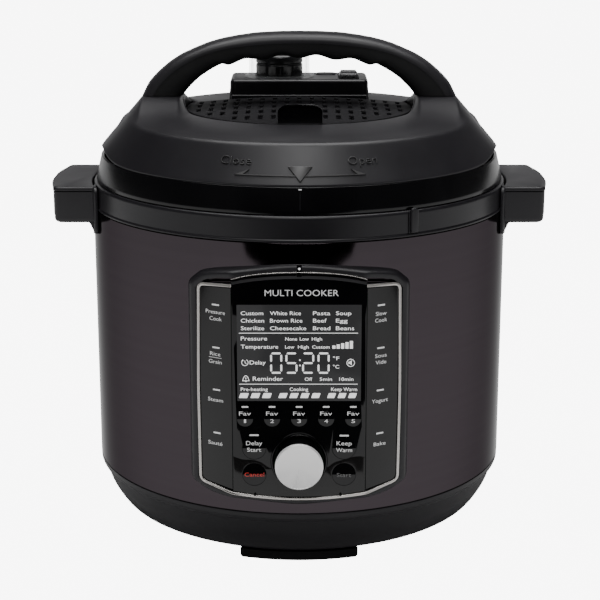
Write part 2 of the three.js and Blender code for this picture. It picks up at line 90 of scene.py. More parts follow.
@dataclass
class Surface:
    """Points in millimetres, and faces as one run of corner numbers and each face's number of corners."""

    points: Array
    corners: Array
    sizes: Array

    def __add__(self, other: "Surface") -> "Surface":
        """Both surfaces as one.

        Args:
            other: the second surface.

        Returns:
            The surface.
        """
        return Surface(
            np.vstack([self.points, other.points]),
            np.concatenate([self.corners, other.corners + len(self.points)]),
            np.concatenate([self.sizes, other.sizes]),
        )

    def mapped(self, change: Callable[[Array, Array, Array], Sequence[Array]]) -> "Surface":
        """The same faces with every point moved by a function of its coordinates."""
        moved = np.stack(np.broadcast_arrays(*change(*self.points.T)), axis=1)
        return Surface(moved.astype(float), self.corners, self.sizes)

    def moved(self, x: float = 0.0, y: float = 0.0, z: float = 0.0) -> "Surface":
        """The surface shifted."""
        return Surface(self.points + np.array([x, y, z]), self.corners, self.sizes)

    def turned_z(self, degrees: float) -> "Surface":
        """The surface turned about the Z axis."""
        c, s = math.cos(math.radians(degrees)), math.sin(math.radians(degrees))
        return self.mapped(lambda x, y, z: (c * x - s * y, s * x + c * y, z))

    def facing_front(self) -> "Surface":
        """A surface drawn in X and Y, stood up so that Y becomes Z and its height along Z faces -Y."""
        return self.mapped(lambda x, y, z: (x, -z, y))


def joined(surfaces: Sequence[Surface]) -> Surface:
    """Several surfaces as one.

    Args:
        surfaces: in their order.

    Returns:
        The surface.
    """
    total = surfaces[0]
    for surface in surfaces[1:]:
        total = total + surface
    return total


def lofted(grid: Array, ring: bool = True, looped: bool = False, capped: bool = False) -> Surface:
    """Quads between the neighbouring rows and columns of a grid of points.

    Args:
        grid: points, rows by columns by 3.
        ring: joins the last column to the first.
        looped: joins the last row to the first.
        capped: closes the first and the last row with one face each.

    Returns:
        The surface.
    """
    rows, columns = grid.shape[:2]
    index = np.arange(rows * columns).reshape(rows, columns)
    if ring:
        index = np.concatenate([index, index[:, :1]], axis=1)
    if looped:
        index = np.concatenate([index, index[:1]], axis=0)
    quads = np.stack([index[:-1, :-1], index[:-1, 1:], index[1:, 1:], index[1:, :-1]], axis=-1).reshape(-1, 4)
    corners, sizes = [quads.ravel()], [np.full(len(quads), 4)]
    if capped:
        corners += [index[0, :columns][::-1], index[-1, :columns]]
        sizes += [np.array([columns, columns])]
    return Surface(grid.reshape(-1, 3).astype(float), np.concatenate(corners), np.concatenate(sizes))


def soft(points: Sequence[Sequence[float]], setback: float | Sequence[float], steps: int = 5,
         closed: bool = True) -> Array:
    """Outline whose corners become quadratic curves from a setback before the corner to one after it.

    The curve through a corner P from A to B is (1-s)^2 A + 2 s (1-s) P + s^2 B.

    Args:
        points: corners of the outline.
        setback: one distance, or one for each corner.
        steps: points on each curve.
        closed: False keeps the first and the last point as they are.

    Returns:
        The points of the softened outline.
    """
    corner = np.asarray(points, float)
    before, after = np.roll(corner, 1, axis=0) - corner, np.roll(corner, -1, axis=0) - corner
    reach_before = np.linalg.norm(before, axis=1)
    reach_after = np.linalg.norm(after, axis=1)
    back = np.minimum(np.broadcast_to(setback, len(corner)), 0.49 * np.minimum(reach_before, reach_after))
    back = np.maximum(back, 0.01)
    start = corner + before / reach_before[:, None] * back[:, None]
    end = corner + after / reach_after[:, None] * back[:, None]
    s = np.linspace(0, 1, steps)[None, :, None]
    curve = (1 - s) ** 2 * start[:, None] + 2 * s * (1 - s) * corner[:, None] + s ** 2 * end[:, None]
    if closed:
        return curve.reshape(-1, corner.shape[1])
    return np.vstack([corner[:1], curve[1:-1].reshape(-1, corner.shape[1]), corner[-1:]])


def turned(profile: Array, closed: bool = False, segments: int = FINE) -> Surface:
    """A profile of radius and height turned about Z. An open profile starts and ends on the axis.

    Args:
        profile: radius and height of each point.
        closed: joins the profile's last point to its first.
        segments: steps round the axis.

    Returns:
        The turned surface.
    """
    angle = np.linspace(0, 2 * np.pi, segments, endpoint=False)[None, :]
    r, z = profile[:, :1], profile[:, 1:]
    grid = np.stack([r * np.sin(angle), -r * np.cos(angle), z + 0 * angle], axis=-1)
    return lofted(grid, looped=closed)


def inset(outline: Array, distance: float) -> Array:
    """A closed anticlockwise outline moved inwards along the mean of its neighbouring edges' normals.

    Args:
        outline: the points.
        distance: how far the edges move.

    Returns:
        The moved points.
    """
    ahead = np.roll(outline, -1, axis=0) - outline
    behind = outline - np.roll(outline, 1, axis=0)
    normals = [np.stack([-e[:, 1], e[:, 0]], axis=1) / np.linalg.norm(e, axis=1)[:, None]
               for e in (ahead, behind)]
    mean = normals[0] + normals[1]
    mean /= np.linalg.norm(mean, axis=1)[:, None]
    lean = np.maximum((mean * normals[0]).sum(axis=1), 0.4)
    return outline + mean * (distance / lean)[:, None]


def rolled_edge(z0: float, z1: float, lower: float, upper: float,
                steps: int = 5) -> list[tuple[float, float]]:
    """Inset and height pairs up a slab's side: a quarter circle, a straight side, a quarter circle.

    Args:
        z0: bottom.
        z1: top.
        lower: radius of the lower quarter circle.
        upper: radius of the upper one.
        steps: points on each quarter circle.

    Returns:
        The pairs, for slab().
    """
    a = np.linspace(0, np.pi / 2, steps)
    bottom = [(lower * (1 - math.sin(t)), z0 + lower * (1 - math.cos(t))) for t in a]
    top = [(upper * (1 - math.cos(t)), z1 - upper * (1 - math.sin(t))) for t in a]
    return bottom + top


def level(plan: Array, z: float) -> Array:
    """Points of a plan outline at one height."""
    return np.column_stack([plan, np.full(len(plan), z)])


def slab(outline: Array, levels: Sequence[tuple[float, float]]) -> Surface:
    """Closed solid whose plan outline is moved inwards by each level's inset at that level's height."""
    rows = [level(inset(outline, i), z) for i, z in levels]
    return lofted(np.stack(rows), capped=True)


def rectangle(x0: float, y0: float, x1: float, y1: float, r: float, steps: int = 6) -> Array:
    """Rectangle with round corners, drawn anticlockwise."""
    return soft([(x0, y0), (x1, y0), (x1, y1), (x0, y1)], r, steps)


def circle(x: float, y: float, r: float, count: int = 48) -> Array:
    """Circle drawn anticlockwise."""
    a = np.linspace(0, 2 * np.pi, count, endpoint=False)
    return np.column_stack([x + r * np.cos(a), y + r * np.sin(a)])


def cut_circle(way: Array, r: float, back: float) -> Array:
    """Distance from the middle to the edge of a circle cut straight behind, for each direction."""
    return np.minimum(r, np.where(np.sin(way) > 0, back / np.maximum(np.sin(way), 1e-6), r))


def cut_circle_ways(r: float, back: float, count: int) -> Array:
    """Directions all round, with the two corners of a circle cut straight behind among them.

    Args:
        r: the circle's radius.
        back: distance of the cut.
        count: even directions besides the corners.

    Returns:
        Angles in radians from +X.
    """
    corner = math.asin(back / r)
    even = np.linspace(-np.pi, np.pi, count, endpoint=False)
    return np.sort(np.concatenate([even, [corner, np.pi - corner]]))


def evenly(path: Array, count: int) -> Array:
    """Points at equal distances along an open path.

    Args:
        path: the path's points.
        count: how many to give back.

    Returns:
        The points.
    """
    run = np.concatenate([[0], np.cumsum(np.linalg.norm(np.diff(path, axis=0), axis=1))])
    want = np.linspace(0, run[-1], count)
    return np.column_stack([np.interp(want, run, path[:, i]) for i in (0, 1)])


def ring_sector(r0: float, r1: float, direction: float, half: float, edge: float, count: int = 16) -> Array:
    """Outline of part of a ring centred on a direction in degrees from +X, with soft corners.

    Args:
        r0: inner radius.
        r1: outer radius.
        direction: of the middle.
        half: half its angle.
        edge: setback of the corners.
        count: points on each arc.

    Returns:
        The closed outline.
    """
    a = np.radians(np.linspace(direction - half, direction + half, count))
    outer = np.column_stack([r1 * np.cos(a), r1 * np.sin(a)])
    inner = np.column_stack([r0 * np.cos(a[::-1]), r0 * np.sin(a[::-1])])
    back = np.full(2 * count, 0.02)
    back[[0, count - 1, count, -1]] = edge
    return soft(np.vstack([outer, inner]), back, 4)


def raw_mesh(surface: Surface, name: str) -> bpy.types.Mesh:
    """A mesh in metres with doubled points merged and its faces pointing out.

    Args:
        surface: in millimetres.
        name: the mesh's name.

    Returns:
        The mesh.
    """
    mesh = bpy.data.meshes.new(name)
    mesh.vertices.add(len(surface.points))
    mesh.vertices.foreach_set("co", (surface.points * MM).astype(np.float32).ravel())
    mesh.loops.add(len(surface.corners))
    mesh.loops.foreach_set("vertex_index", surface.corners.astype(np.int32))
    mesh.polygons.add(len(surface.sizes))
    starts = np.concatenate([[0], np.cumsum(surface.sizes)[:-1]]).astype(np.int32)
    mesh.polygons.foreach_set("loop_start", starts)
    mesh.update(calc_edges=True)
    mesh.validate()
    work = bmesh.new()
    work.from_mesh(mesh)
    bmesh.ops.remove_doubles(work, verts=work.verts, dist=3e-6)
    bmesh.ops.dissolve_degenerate(work, edges=work.edges, dist=1e-6)
    bmesh.ops.recalc_face_normals(work, faces=work.faces)
    if work.calc_volume(signed=True) < 0:
        bmesh.ops.reverse_faces(work, faces=work.faces)
    work.to_mesh(mesh)
    work.free()
    return mesh


def placed(name: str, data: bpy.types.ID) -> bpy.types.Object:
    """An object that holds a mesh, curve, light or camera, in the scene.

    Args:
        name: its name.
        data: what it holds.

    Returns:
        The object.
    """
    thing = bpy.data.objects.new(name, data)
    bpy.context.scene.collection.objects.link(thing)
    return thing


def read_surface(mesh: bpy.types.Mesh) -> Surface:
    """The surface of a mesh, in millimetres.

    Args:
        mesh: in metres.

    Returns:
        The surface.
    """
    points = np.empty(len(mesh.vertices) * 3, np.float32)
    mesh.vertices.foreach_get("co", points)
    corners = np.empty(len(mesh.loops), np.int32)
    mesh.loops.foreach_get("vertex_index", corners)
    sizes = np.empty(len(mesh.polygons), np.int32)
    mesh.polygons.foreach_get("loop_total", sizes)
    return Surface(points.reshape(-1, 3).astype(float) / MM, corners, sizes)


def carved(body: Surface, tools: Surface, solver: str = "EXACT") -> Surface:
    """What is left of a closed surface when closed tools are taken away from it.

    Args:
        body: the surface to cut.
        tools: what is taken away.
        solver: FAST for a body whose fine folds the exact solver takes for its inside.

    Returns:
        The cut surface.
    """
    pair = [placed(word, raw_mesh(s, word)) for word, s in (("work", body), ("tool", tools))]
    cutter = pair[0].modifiers.new("cut", "BOOLEAN")
    cutter.operation, cutter.solver, cutter.object = "DIFFERENCE", solver, pair[1]
    ready = pair[0].evaluated_get(bpy.context.evaluated_depsgraph_get())
    result = read_surface(ready.to_mesh())
    for thing in pair:
        mesh = thing.data
        bpy.data.objects.remove(thing)
        bpy.data.meshes.remove(mesh)
    return result


def copied(node: str) -> Surface:
    """The surface of a CAD node."""
    return read_surface(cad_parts[node].data)


CAPITAL_HEIGHT = 0.729  # height of a capital in the built-in lettering, as a share of its size


def lettering(text: str, height: float, width: float | None = None, depth: float = 0.12,
              weight: float = 0.0, edge: float = 0.0) -> Surface:
    """Raised letters centred on the origin, drawn in X and Y.

    Args:
        text: the letters.
        height: height of a capital.
        width: the whole text's width, or None for its natural width.
        depth: how far the letters stand out along Z.
        weight: how much the strokes are thickened.
        edge: radius of the rounding along the strokes.

    Returns:
        The letters' closed surface.
    """
    curve = bpy.data.curves.new("letters", "FONT")
    curve.body = text
    curve.size = height / CAPITAL_HEIGHT * MM
    curve.resolution_u = 3
    curve.extrude = (depth / 2 - edge) * MM
    curve.bevel_depth = edge * MM
    curve.bevel_resolution = 1 if edge else 0
    curve.offset = (weight - edge - 0.035 * min(height, 3.0) / 2.5) * MM
    thing = placed("letters", curve)
    bpy.context.view_layer.update()
    mesh = bpy.data.meshes.new_from_object(thing.evaluated_get(bpy.context.evaluated_depsgraph_get()))
    surface = read_surface(mesh)
    bpy.data.objects.remove(thing)
    bpy.data.curves.remove(curve)
    bpy.data.meshes.remove(mesh)
    left, right = surface.points[:, 0].min(), surface.points[:, 0].max()
    stretch = 1.0 if width is None else width / (right - left)
    centre = (left + right) / 2
    return surface.mapped(lambda x, y, z: ((x - centre) * stretch, y - height / 2, z))


# ---- finishes


class Pattern(Enum):
    """What varies over a finish."""

    GRAIN = "spark-textured moulding"
    SMOOTH = "plain moulding with faint handling marks"
    BRUSHED_ROUND = "fine lines that run round the upright axis"
    # the disc pattern also carries painted highlight: sectors lighter and darker round the dial's axis
    BRUSHED_DISC = "fine rings about the dial's axis"
    CAST = "slightly uneven cast metal"
    CIRCUIT = "tracks and pads"


def new_group(name: str, inputs: dict[str, float], outputs: Sequence[str]) -> tuple:
    """A node group with a vector input, number inputs with their defaults and number outputs.

    Args:
        name: the group's name.
        inputs: names and defaults of the numbers it takes.
        outputs: names of the numbers it gives.

    Returns:
        The group, its input node and its output node.
    """
    tree = bpy.data.node_groups.new(name, "ShaderNodeTree")
    tree.interface.new_socket("Place", in_out="INPUT", socket_type="NodeSocketVector")
    for name, value in inputs.items():
        tree.interface.new_socket(name, in_out="INPUT", socket_type="NodeSocketFloat").default_value = value
    for name in outputs:
        tree.interface.new_socket(name, in_out="OUTPUT", socket_type="NodeSocketFloat")
    return tree, tree.nodes.new("NodeGroupInput"), tree.nodes.new("NodeGroupOutput")


def add_node(tree: bpy.types.NodeTree, kind: str, links: dict | None = None,
             **values: object) -> bpy.types.Node:
    """A node with its settings and inputs.

    Args:
        tree: where it goes.
        kind: node type without its ShaderNode prefix.
        links: input name or number to an output socket.
        values: properties, or input defaults where the name starts with in_.

    Returns:
        The node.
    """
    node = tree.nodes.new("ShaderNode" + kind)
    for name, value in values.items():
        if name.startswith("in_"):
            key = name[3:].replace("_", " ")
            node.inputs[int(key) if key.isdigit() else key].default_value = value
        else:
            setattr(node, name, value)
    for key, socket in (links or {}).items():
        tree.links.new(socket, node.inputs[key])
    return node


def grain_group() -> bpy.types.NodeTree:
    """Spark texture: small rounded pits from a cell pattern mixed with fine noise, and a broad mottle.

    Returns:
        The group.
    """
    tree, entry, result = new_group("spark_grain", {"Density": 900.0, "Mottle Size": 18.0},
                                    ["Height", "Mottle"])
    place, density = entry.outputs["Place"], entry.outputs["Density"]
    pits = add_node(tree, "TexVoronoi", {"Vector": place, "Scale": density}, feature="SMOOTH_F1")
    fine = add_node(tree, "TexNoise", {"Vector": place, "Scale": density}, in_Detail=2.0, in_Roughness=0.6)
    both = add_node(tree, "Math", {0: pits.outputs["Distance"], 1: fine.outputs["Fac"]}, operation="ADD")
    broad = add_node(tree, "TexNoise", {"Vector": place, "Scale": entry.outputs["Mottle Size"]},
                     in_Detail=3.0)
    tree.links.new(both.outputs[0], result.inputs["Height"])
    tree.links.new(broad.outputs["Fac"], result.inputs["Mottle"])
    return tree


def handling_group() -> bpy.types.NodeTree:
    """Handling marks: soft smears and sparse dust, as one number near 0.5.

    Returns:
        The group.
    """
    tree, entry, result = new_group("handling", {"Size": 14.0, "Speck Size": 700.0}, ["Smear", "Dust"])
    place = entry.outputs["Place"]
    smear = add_node(tree, "TexNoise", {"Vector": place, "Scale": entry.outputs["Size"]}, in_Detail=4.0,
                     in_Distortion=0.8)
    specks = add_node(tree, "TexNoise", {"Vector": place, "Scale": entry.outputs["Speck Size"]},
                      in_Detail=1.0)
    dust = add_node(tree, "MapRange", {"Value": specks.outputs["Fac"]}, in_1=0.68, in_2=0.8)
    tree.links.new(smear.outputs["Fac"], result.inputs["Smear"])
    tree.links.new(dust.outputs[0], result.inputs["Dust"])
    return tree


def round_brush_group() -> bpy.types.NodeTree:
    """Brush lines round the Z axis: noise of the angle, hardly varying, and the height, varying quickly.

    Returns:
        The group.
    """
    tree, entry, result = new_group("round_brush", {"Lines": 2600.0}, ["Height", "Streak"])
    parts = add_node(tree, "SeparateXYZ", {0: entry.outputs["Place"]})
    angle = add_node(tree, "Math", {0: parts.outputs[0], 1: parts.outputs[1]}, operation="ARCTAN2")
    lines = add_node(tree, "Math", {0: parts.outputs[2], 1: entry.outputs["Lines"]}, operation="MULTIPLY")
    around = add_node(tree, "Math", {0: angle.outputs[0]}, in_1=5.0, operation="MULTIPLY")
    flat = add_node(tree, "CombineXYZ", {0: around.outputs[0], 2: lines.outputs[0]})
    fine = add_node(tree, "TexNoise", {"Vector": flat.outputs[0]}, in_Scale=1.0, in_Detail=3.0)
    coarse = add_node(tree, "TexNoise", {"Vector": flat.outputs[0]}, in_Scale=0.09, in_Detail=2.0)
    tree.links.new(fine.outputs["Fac"], result.inputs["Height"])
    tree.links.new(coarse.outputs["Fac"], result.inputs["Streak"])
    return tree


def disc_brush_group() -> bpy.types.NodeTree:
    """Spun face: noise of the distance from the Y axis for fine rings, and a slow noise round it whose light
    and dark sectors are painted highlight.

    Returns:
        The group.
    """
    tree, entry, result = new_group("disc_brush", {"Rings": 9000.0, "Painted Highlight Rays": 1.3}, ["Height", "Streak"])
    parts = add_node(tree, "SeparateXYZ", {0: entry.outputs["Place"]})
    flat = add_node(tree, "CombineXYZ", {0: parts.outputs[0], 1: parts.outputs[2]})
    radius = add_node(tree, "VectorMath", {0: flat.outputs[0]}, operation="LENGTH")
    rings = add_node(tree, "Math", {0: radius.outputs["Value"], 1: entry.outputs["Rings"]},
                     operation="MULTIPLY")
    fine = add_node(tree, "TexNoise", {"W": rings.outputs[0]}, noise_dimensions="1D", in_Scale=1.0,
                    in_Detail=2.0)
    unit = add_node(tree, "VectorMath", {0: flat.outputs[0]}, operation="NORMALIZE")
    # painted highlight: this slow noise round the axis lightens and darkens the face in sectors where its
    # reflections would fall
    painted_highlight_rays = add_node(tree, "TexNoise", {"Vector": unit.outputs[0], "Scale": entry.outputs["Painted Highlight Rays"]},
                    in_Detail=1.5)
    tree.links.new(fine.outputs["Fac"], result.inputs["Height"])
    tree.links.new(painted_highlight_rays.outputs["Fac"], result.inputs["Streak"])
    return tree


GROUPS = {  # each pattern's group, its maker, and the outputs that give relief and tone
    Pattern.GRAIN: ("spark_grain", grain_group, "Height", "Mottle"),
    Pattern.SMOOTH: ("handling", handling_group, "Dust", "Smear"),
    Pattern.BRUSHED_ROUND: ("round_brush", round_brush_group, "Height", "Streak"),
    # the disc group's Streak output is the painted highlight sectors round the dial
    Pattern.BRUSHED_DISC: ("disc_brush", disc_brush_group, "Height", "Streak"),
}
GROUPS[Pattern.CAST] = GROUPS[Pattern.CIRCUIT] = GROUPS[Pattern.GRAIN]


@dataclass(frozen=True)
class Finish:
    """A surface finish with a pattern that changes its colour, roughness and relief a little."""

    name: str
    slot: str
    colour: tuple[float, float, float]
    roughness: float
    pattern: Pattern = Pattern.SMOOTH
    second: tuple[float, float, float] | None = None  # colour at the other end of the pattern
    spread: float = 0.06  # how far the roughness varies
    relief: float = 0.0  # bump strength
    relief_depth: float = 0.00004
    density: float = 0.0  # the pattern group's own scale, 0 for its default
    metallic: float = 0.0
    specular: float = 0.5
    edge: float = 1.0  # tint of a metal's reflections at the silhouette
    anisotropy: float = 0.0
    subsurface: float = 0.0
    glow: float = 0.0
    centre: tuple[float, float, float] = (0.0, 0.0, 0.0)
    see: tuple[float, float] | None = None  # opacity of a thin clear wall seen squarely and edge on

    def material(self) -> bpy.types.Material:
        """The material of this finish, made on first use.

        Returns:
            The material.
        """
        title = self.name + "_look"  # the frame's own materials carry the plain names
        made = bpy.data.materials.get(title)
        if made:
            return made
        made = bpy.data.materials.new(title)
        made.use_nodes = True
        tree = made.node_tree
        shader = tree.nodes["Principled BSDF"]
        place = add_node(tree, "TexCoord").outputs["Object"]
        if any(self.centre):
            centred = add_node(tree, "Mapping", {"Vector": place})
            centred.inputs["Location"].default_value = [-v * MM for v in self.centre]
            place = centred.outputs[0]
        group_name, make_group, height_name, tone_name = GROUPS[self.pattern]
        pattern = add_node(tree, "Group", node_tree=bpy.data.node_groups.get(group_name) or make_group())
        tree.links.new(place, pattern.inputs["Place"])
        if self.density:
            pattern.inputs[1].default_value = self.density
        self.set_colour(tree, shader, pattern.outputs[tone_name])
        rough = add_node(tree, "MapRange", {"Value": pattern.outputs[tone_name]}, in_1=0.3, in_2=0.7,
                         in_3=max(self.roughness - self.spread, 0.02), in_4=self.roughness + self.spread)
        tree.links.new(rough.outputs[0], shader.inputs["Roughness"])
        if self.relief:
            bump = add_node(tree, "Bump", {"Height": pattern.outputs[height_name]}, in_Strength=self.relief,
                            in_Distance=self.relief_depth)
            tree.links.new(bump.outputs[0], shader.inputs["Normal"])
        constants = {
            "Metallic": self.metallic, "Specular IOR Level": self.specular, "Anisotropic": self.anisotropy,
            "Subsurface Weight": self.subsurface,
        }
        for socket, value in constants.items():
            shader.inputs[socket].default_value = value
        shader.inputs["Specular Tint"].default_value = (self.edge, self.edge, self.edge, 1)
        if self.see:
            facing = add_node(tree, "LayerWeight", in_Blend=0.12).outputs["Facing"]
            opaque = add_node(tree, "MapRange", {"Value": facing}, in_3=self.see[0], in_4=self.see[1])
            tree.links.new(opaque.outputs[0], shader.inputs["Alpha"])
        if self.subsurface:
            shader.inputs["Subsurface Scale"].default_value = 0.004
        if self.glow:
            shader.inputs["Emission Color"].default_value = (*self.colour, 1)
            shader.inputs["Emission Strength"].default_value = self.glow
        return made

    def set_colour(self, tree: bpy.types.NodeTree, shader: bpy.types.Node,
                   tone: bpy.types.NodeSocket) -> None:
        """Links the base colour to a mix of the finish's two colours by the pattern's tone.

        Args:
            tree: the material's nodes.
            shader: takes the colour.
            tone: the pattern.
        """
        other = self.second or tuple(min(1.0, c * 1.18 + 0.001) for c in self.colour)
        swing = add_node(tree, "MapRange", {"Value": tone}, in_1=0.35, in_2=0.65)
        mix = add_node(tree, "Mix", {0: swing.outputs[0]}, data_type="RGBA")
        mix.inputs["A"].default_value = (*self.colour, 1)
        mix.inputs["B"].default_value = (*other, 1)
        tree.links.new(mix.outputs["Result"], shader.inputs["Base Color"])


MOULDED = Finish("moulded_black", "black_plastic", (0.0125, 0.0115, 0.0142), 0.44, Pattern.GRAIN, relief=0.32,
                 density=1500.0, relief_depth=0.00006)
SATIN = Finish("satin_black", "black_plastic", (0.0100, 0.0092, 0.0115), 0.36, Pattern.GRAIN, relief=0.10,
               density=1900.0)
BOWL_BLACK = Finish("bowl_black", "black_plastic", (0.0085, 0.0078, 0.0098), 0.4, Pattern.GRAIN, relief=0.12,
                    density=1900.0, specular=0.4)
SMOOTH_BLACK = Finish("smooth_black", "black_plastic", (0.0030, 0.0029, 0.0036), 0.2, spread=0.05)
GLOSS = Finish("gloss_black", "gloss_black", (0.0022, 0.0022, 0.0027), 0.05, spread=0.02)
STRIP = Finish("strip_black", "gloss_black", (0.0050, 0.0046, 0.0046), 0.16, spread=0.03)
LOWER_PLATE = Finish("lower_plate", "gloss_black", (0.010, 0.0095, 0.0095), 0.14, spread=0.03)
BLACK_STEEL = Finish("black_steel", "black_steel", (0.066, 0.055, 0.062), 0.10, Pattern.BRUSHED_ROUND,
                     second=(0.069, 0.058, 0.065), spread=0.015, metallic=1.0, edge=0.48)
STEEL = Finish("brushed_steel", "steel", (0.66, 0.66, 0.67), 0.34, Pattern.BRUSHED_ROUND, relief=0.04,
               metallic=0.85, relief_depth=0.00002)
PRESSED_STEEL = Finish("pressed_steel", "steel", (0.58, 0.58, 0.59), 0.22, metallic=1.0)
CAST_ALUMINIUM = Finish("cast_aluminium", "aluminium", (0.52, 0.52, 0.53), 0.38, Pattern.CAST, relief=0.12,
                        density=700.0, metallic=1.0)
SILVER = Finish("silver_trim", "silver_trim", (0.72, 0.69, 0.66), 0.3, metallic=0.75)
RUBBER = Finish("foot_rubber", "rubber", (0.0045, 0.0042, 0.0050), 0.6, Pattern.GRAIN, relief=0.3,
                density=800.0, specular=0.3)
SILICONE = Finish("silicone", "silicone", (0.74, 0.75, 0.76), 0.42, subsurface=0.35)
CLEAR = Finish("clear_plastic", "clear_plastic", (0.20, 0.205, 0.21), 0.06,
               spread=0.02, see=(0.02, 0.8))
BOARD = Finish("circuit_board", "circuit_board", (0.012, 0.075, 0.03), 0.4, Pattern.CIRCUIT, density=260.0,
               second=(0.03, 0.14, 0.06), relief=0.3)
BRASS = Finish("plated_brass", "brass", (0.55, 0.40, 0.17), 0.3, metallic=1.0)
DISPLAY = Finish("display_glass", "display", (0.03, 0.03, 0.031), 0.12, spread=0.02, glow=0.55,
                 specular=0.2)
LIT = Finish("lit_segments", "display", (0.86, 0.86, 0.86), 0.4, glow=0.95)
# painted light: the white print glows though it is ink and no lamp
PRINT = Finish("white_print", "display", (0.66, 0.66, 0.66), 0.45, glow=0.55)
GREY_PRINT = Finish("grey_print", "display", (0.20, 0.20, 0.20), 0.5)
# painted light: the red print glows too, though it is no lamp
RED_PRINT = Finish("red_print", "display", (0.62, 0.045, 0.035), 0.45, glow=0.30)
# painted light: the dial face glows a little though it is no lamp, and its colour sectors round the axis are
# painted highlight
SPUN = Finish("spun_aluminium", "spun_aluminium", (0.90, 0.90, 0.90), 0.32, Pattern.BRUSHED_DISC,
              second=(0.97, 0.96, 0.95), relief=0.10, spread=0.05, metallic=0.6, glow=0.26, anisotropy=0.75,
              relief_depth=0.00003, centre=(0.0, 0.0, float(KNOB_Z)))
# lighter than the moulded black round it: painted highlight standing in for the catch light on the raised lid
# marks
POINTER = Finish("pointer_black", "black_plastic", (0.034, 0.033, 0.034), 0.34, Pattern.GRAIN, relief=0.12,
                 density=1900.0)
DIFFUSER_BLACK = Finish("diffuser_black", "black_plastic", (0.0090, 0.0085, 0.0100), 0.6, Pattern.GRAIN,
                        relief=0.12, density=1900.0, specular=0.15)
CAP_BLACK = Finish("cap_black", "black_plastic", (0.0040, 0.0038, 0.0045), 0.14, spread=0.02)
SLIDE_GREY = Finish("slide_grey", "black_plastic", (0.060, 0.058, 0.062), 0.26)
HANDLE_BLACK = Finish("grip_black", "black_plastic", (0.0125, 0.0125, 0.013), 0.42, Pattern.GRAIN,
                      relief=0.25, density=1500.0)


@dataclass
class Bench:
    """Turns surfaces into pieces that ride on one body."""

    body: str

    def piece(self, name: str, surface: Surface, finish: Finish, replaces: Sequence[str] = (),
              crease: float = 30.0) -> bpy.types.Object:
        """A finished piece.

        Args:
            name: the piece's name.
            surface: its shape, in place.
            finish: its finish.
            replaces: CAD nodes that it stands for.
            crease: angle in degrees above which an edge looks sharp.

        Returns:
            The object.
        """
        mesh = raw_mesh(surface, name)
        mesh.shade_smooth()
        mesh.set_sharp_from_angle(angle=math.radians(crease))
        mesh.materials.append(finish.material())
        piece = placed(name, mesh)
        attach(piece, self.body)
        if replaces:
            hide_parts(*replaces)
        LOG.info("%s: %d faces on %s", name, len(mesh.polygons), self.body)
        return piece


def dress(node: str, finish: Finish) -> None:
    """Gives a CAD node that keeps its shape a finish.

    Args:
        node: the node's name.
        finish: its finish.
    """
    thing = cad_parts[node]
    thing.data.materials.clear()
    thing.data.materials.append(finish.material())


# ---- body


@dataclass
class Underside:
    """Bowl-shaped bottom with its vents and the four feet."""

    floor: float = low("base_tray", 2)
    top: float = high("base_tray", 2)
    rim_r: float = high("base_tray", 0)
    wall: float = 3.2
    vent_count: int = 8

    def build(self, bench: Bench) -> None:
        """Makes the tray and the feet.

        Args:
            bench: for the pieces.
        """
        outside = [
            (80, self.floor), (113, self.floor), (121, 8.4), (125.6, 14), (130.8, 22.5), (134.0, 32.6),
            (134.5, 33.7), (136.0, 34.5), (self.rim_r, 36.4), (self.rim_r, self.top),
        ]
        inside = [(self.rim_r - 5, self.top), (131, 34), (121, 14.5), (112, self.floor + self.wall),
                  (80, self.floor + self.wall)]
        back = [0.1, 5, 5, 5, 6, 0.5, 0.5, 0.6, 0.8, 0.5, 0.5, 3, 4, 3, 0.1]
        wall = soft(outside + inside, back, 6)
        hub = [(0, self.floor), (80, self.floor), (80, self.floor + self.wall), (0, self.floor + self.wall)]
        plate = turned(np.array(hub, float), segments=96)
        slots = joined([
            slab(ring_sector(50, 76, 360 / self.vent_count * (n + 0.5) + shift, 1.7, 1), [(0, 2), (0, 12)])
            for n in range(self.vent_count) for shift in (-9, -3, 3, 9)
        ])
        shape = turned(wall, closed=True) + carved(plate, slots)
        bench.piece("base_bowl", shape, BOWL_BLACK, ["base_tray"])
        for node, direction, half in (("foot_front", -90, 18.5), ("foot_rear", 90, 18.5),
                                      ("foot_left", 180, 5.5), ("foot_right", 0, 5.5)):
            outline = ring_sector(101, 119.3, direction, half, 7.5 if half > 10 else 3, 24)
            pad = slab(outline, rolled_edge(0, self.floor + 0.6, 2.6, 0.2))
            bench.piece(node + "_pad", pad, RUBBER, [node])


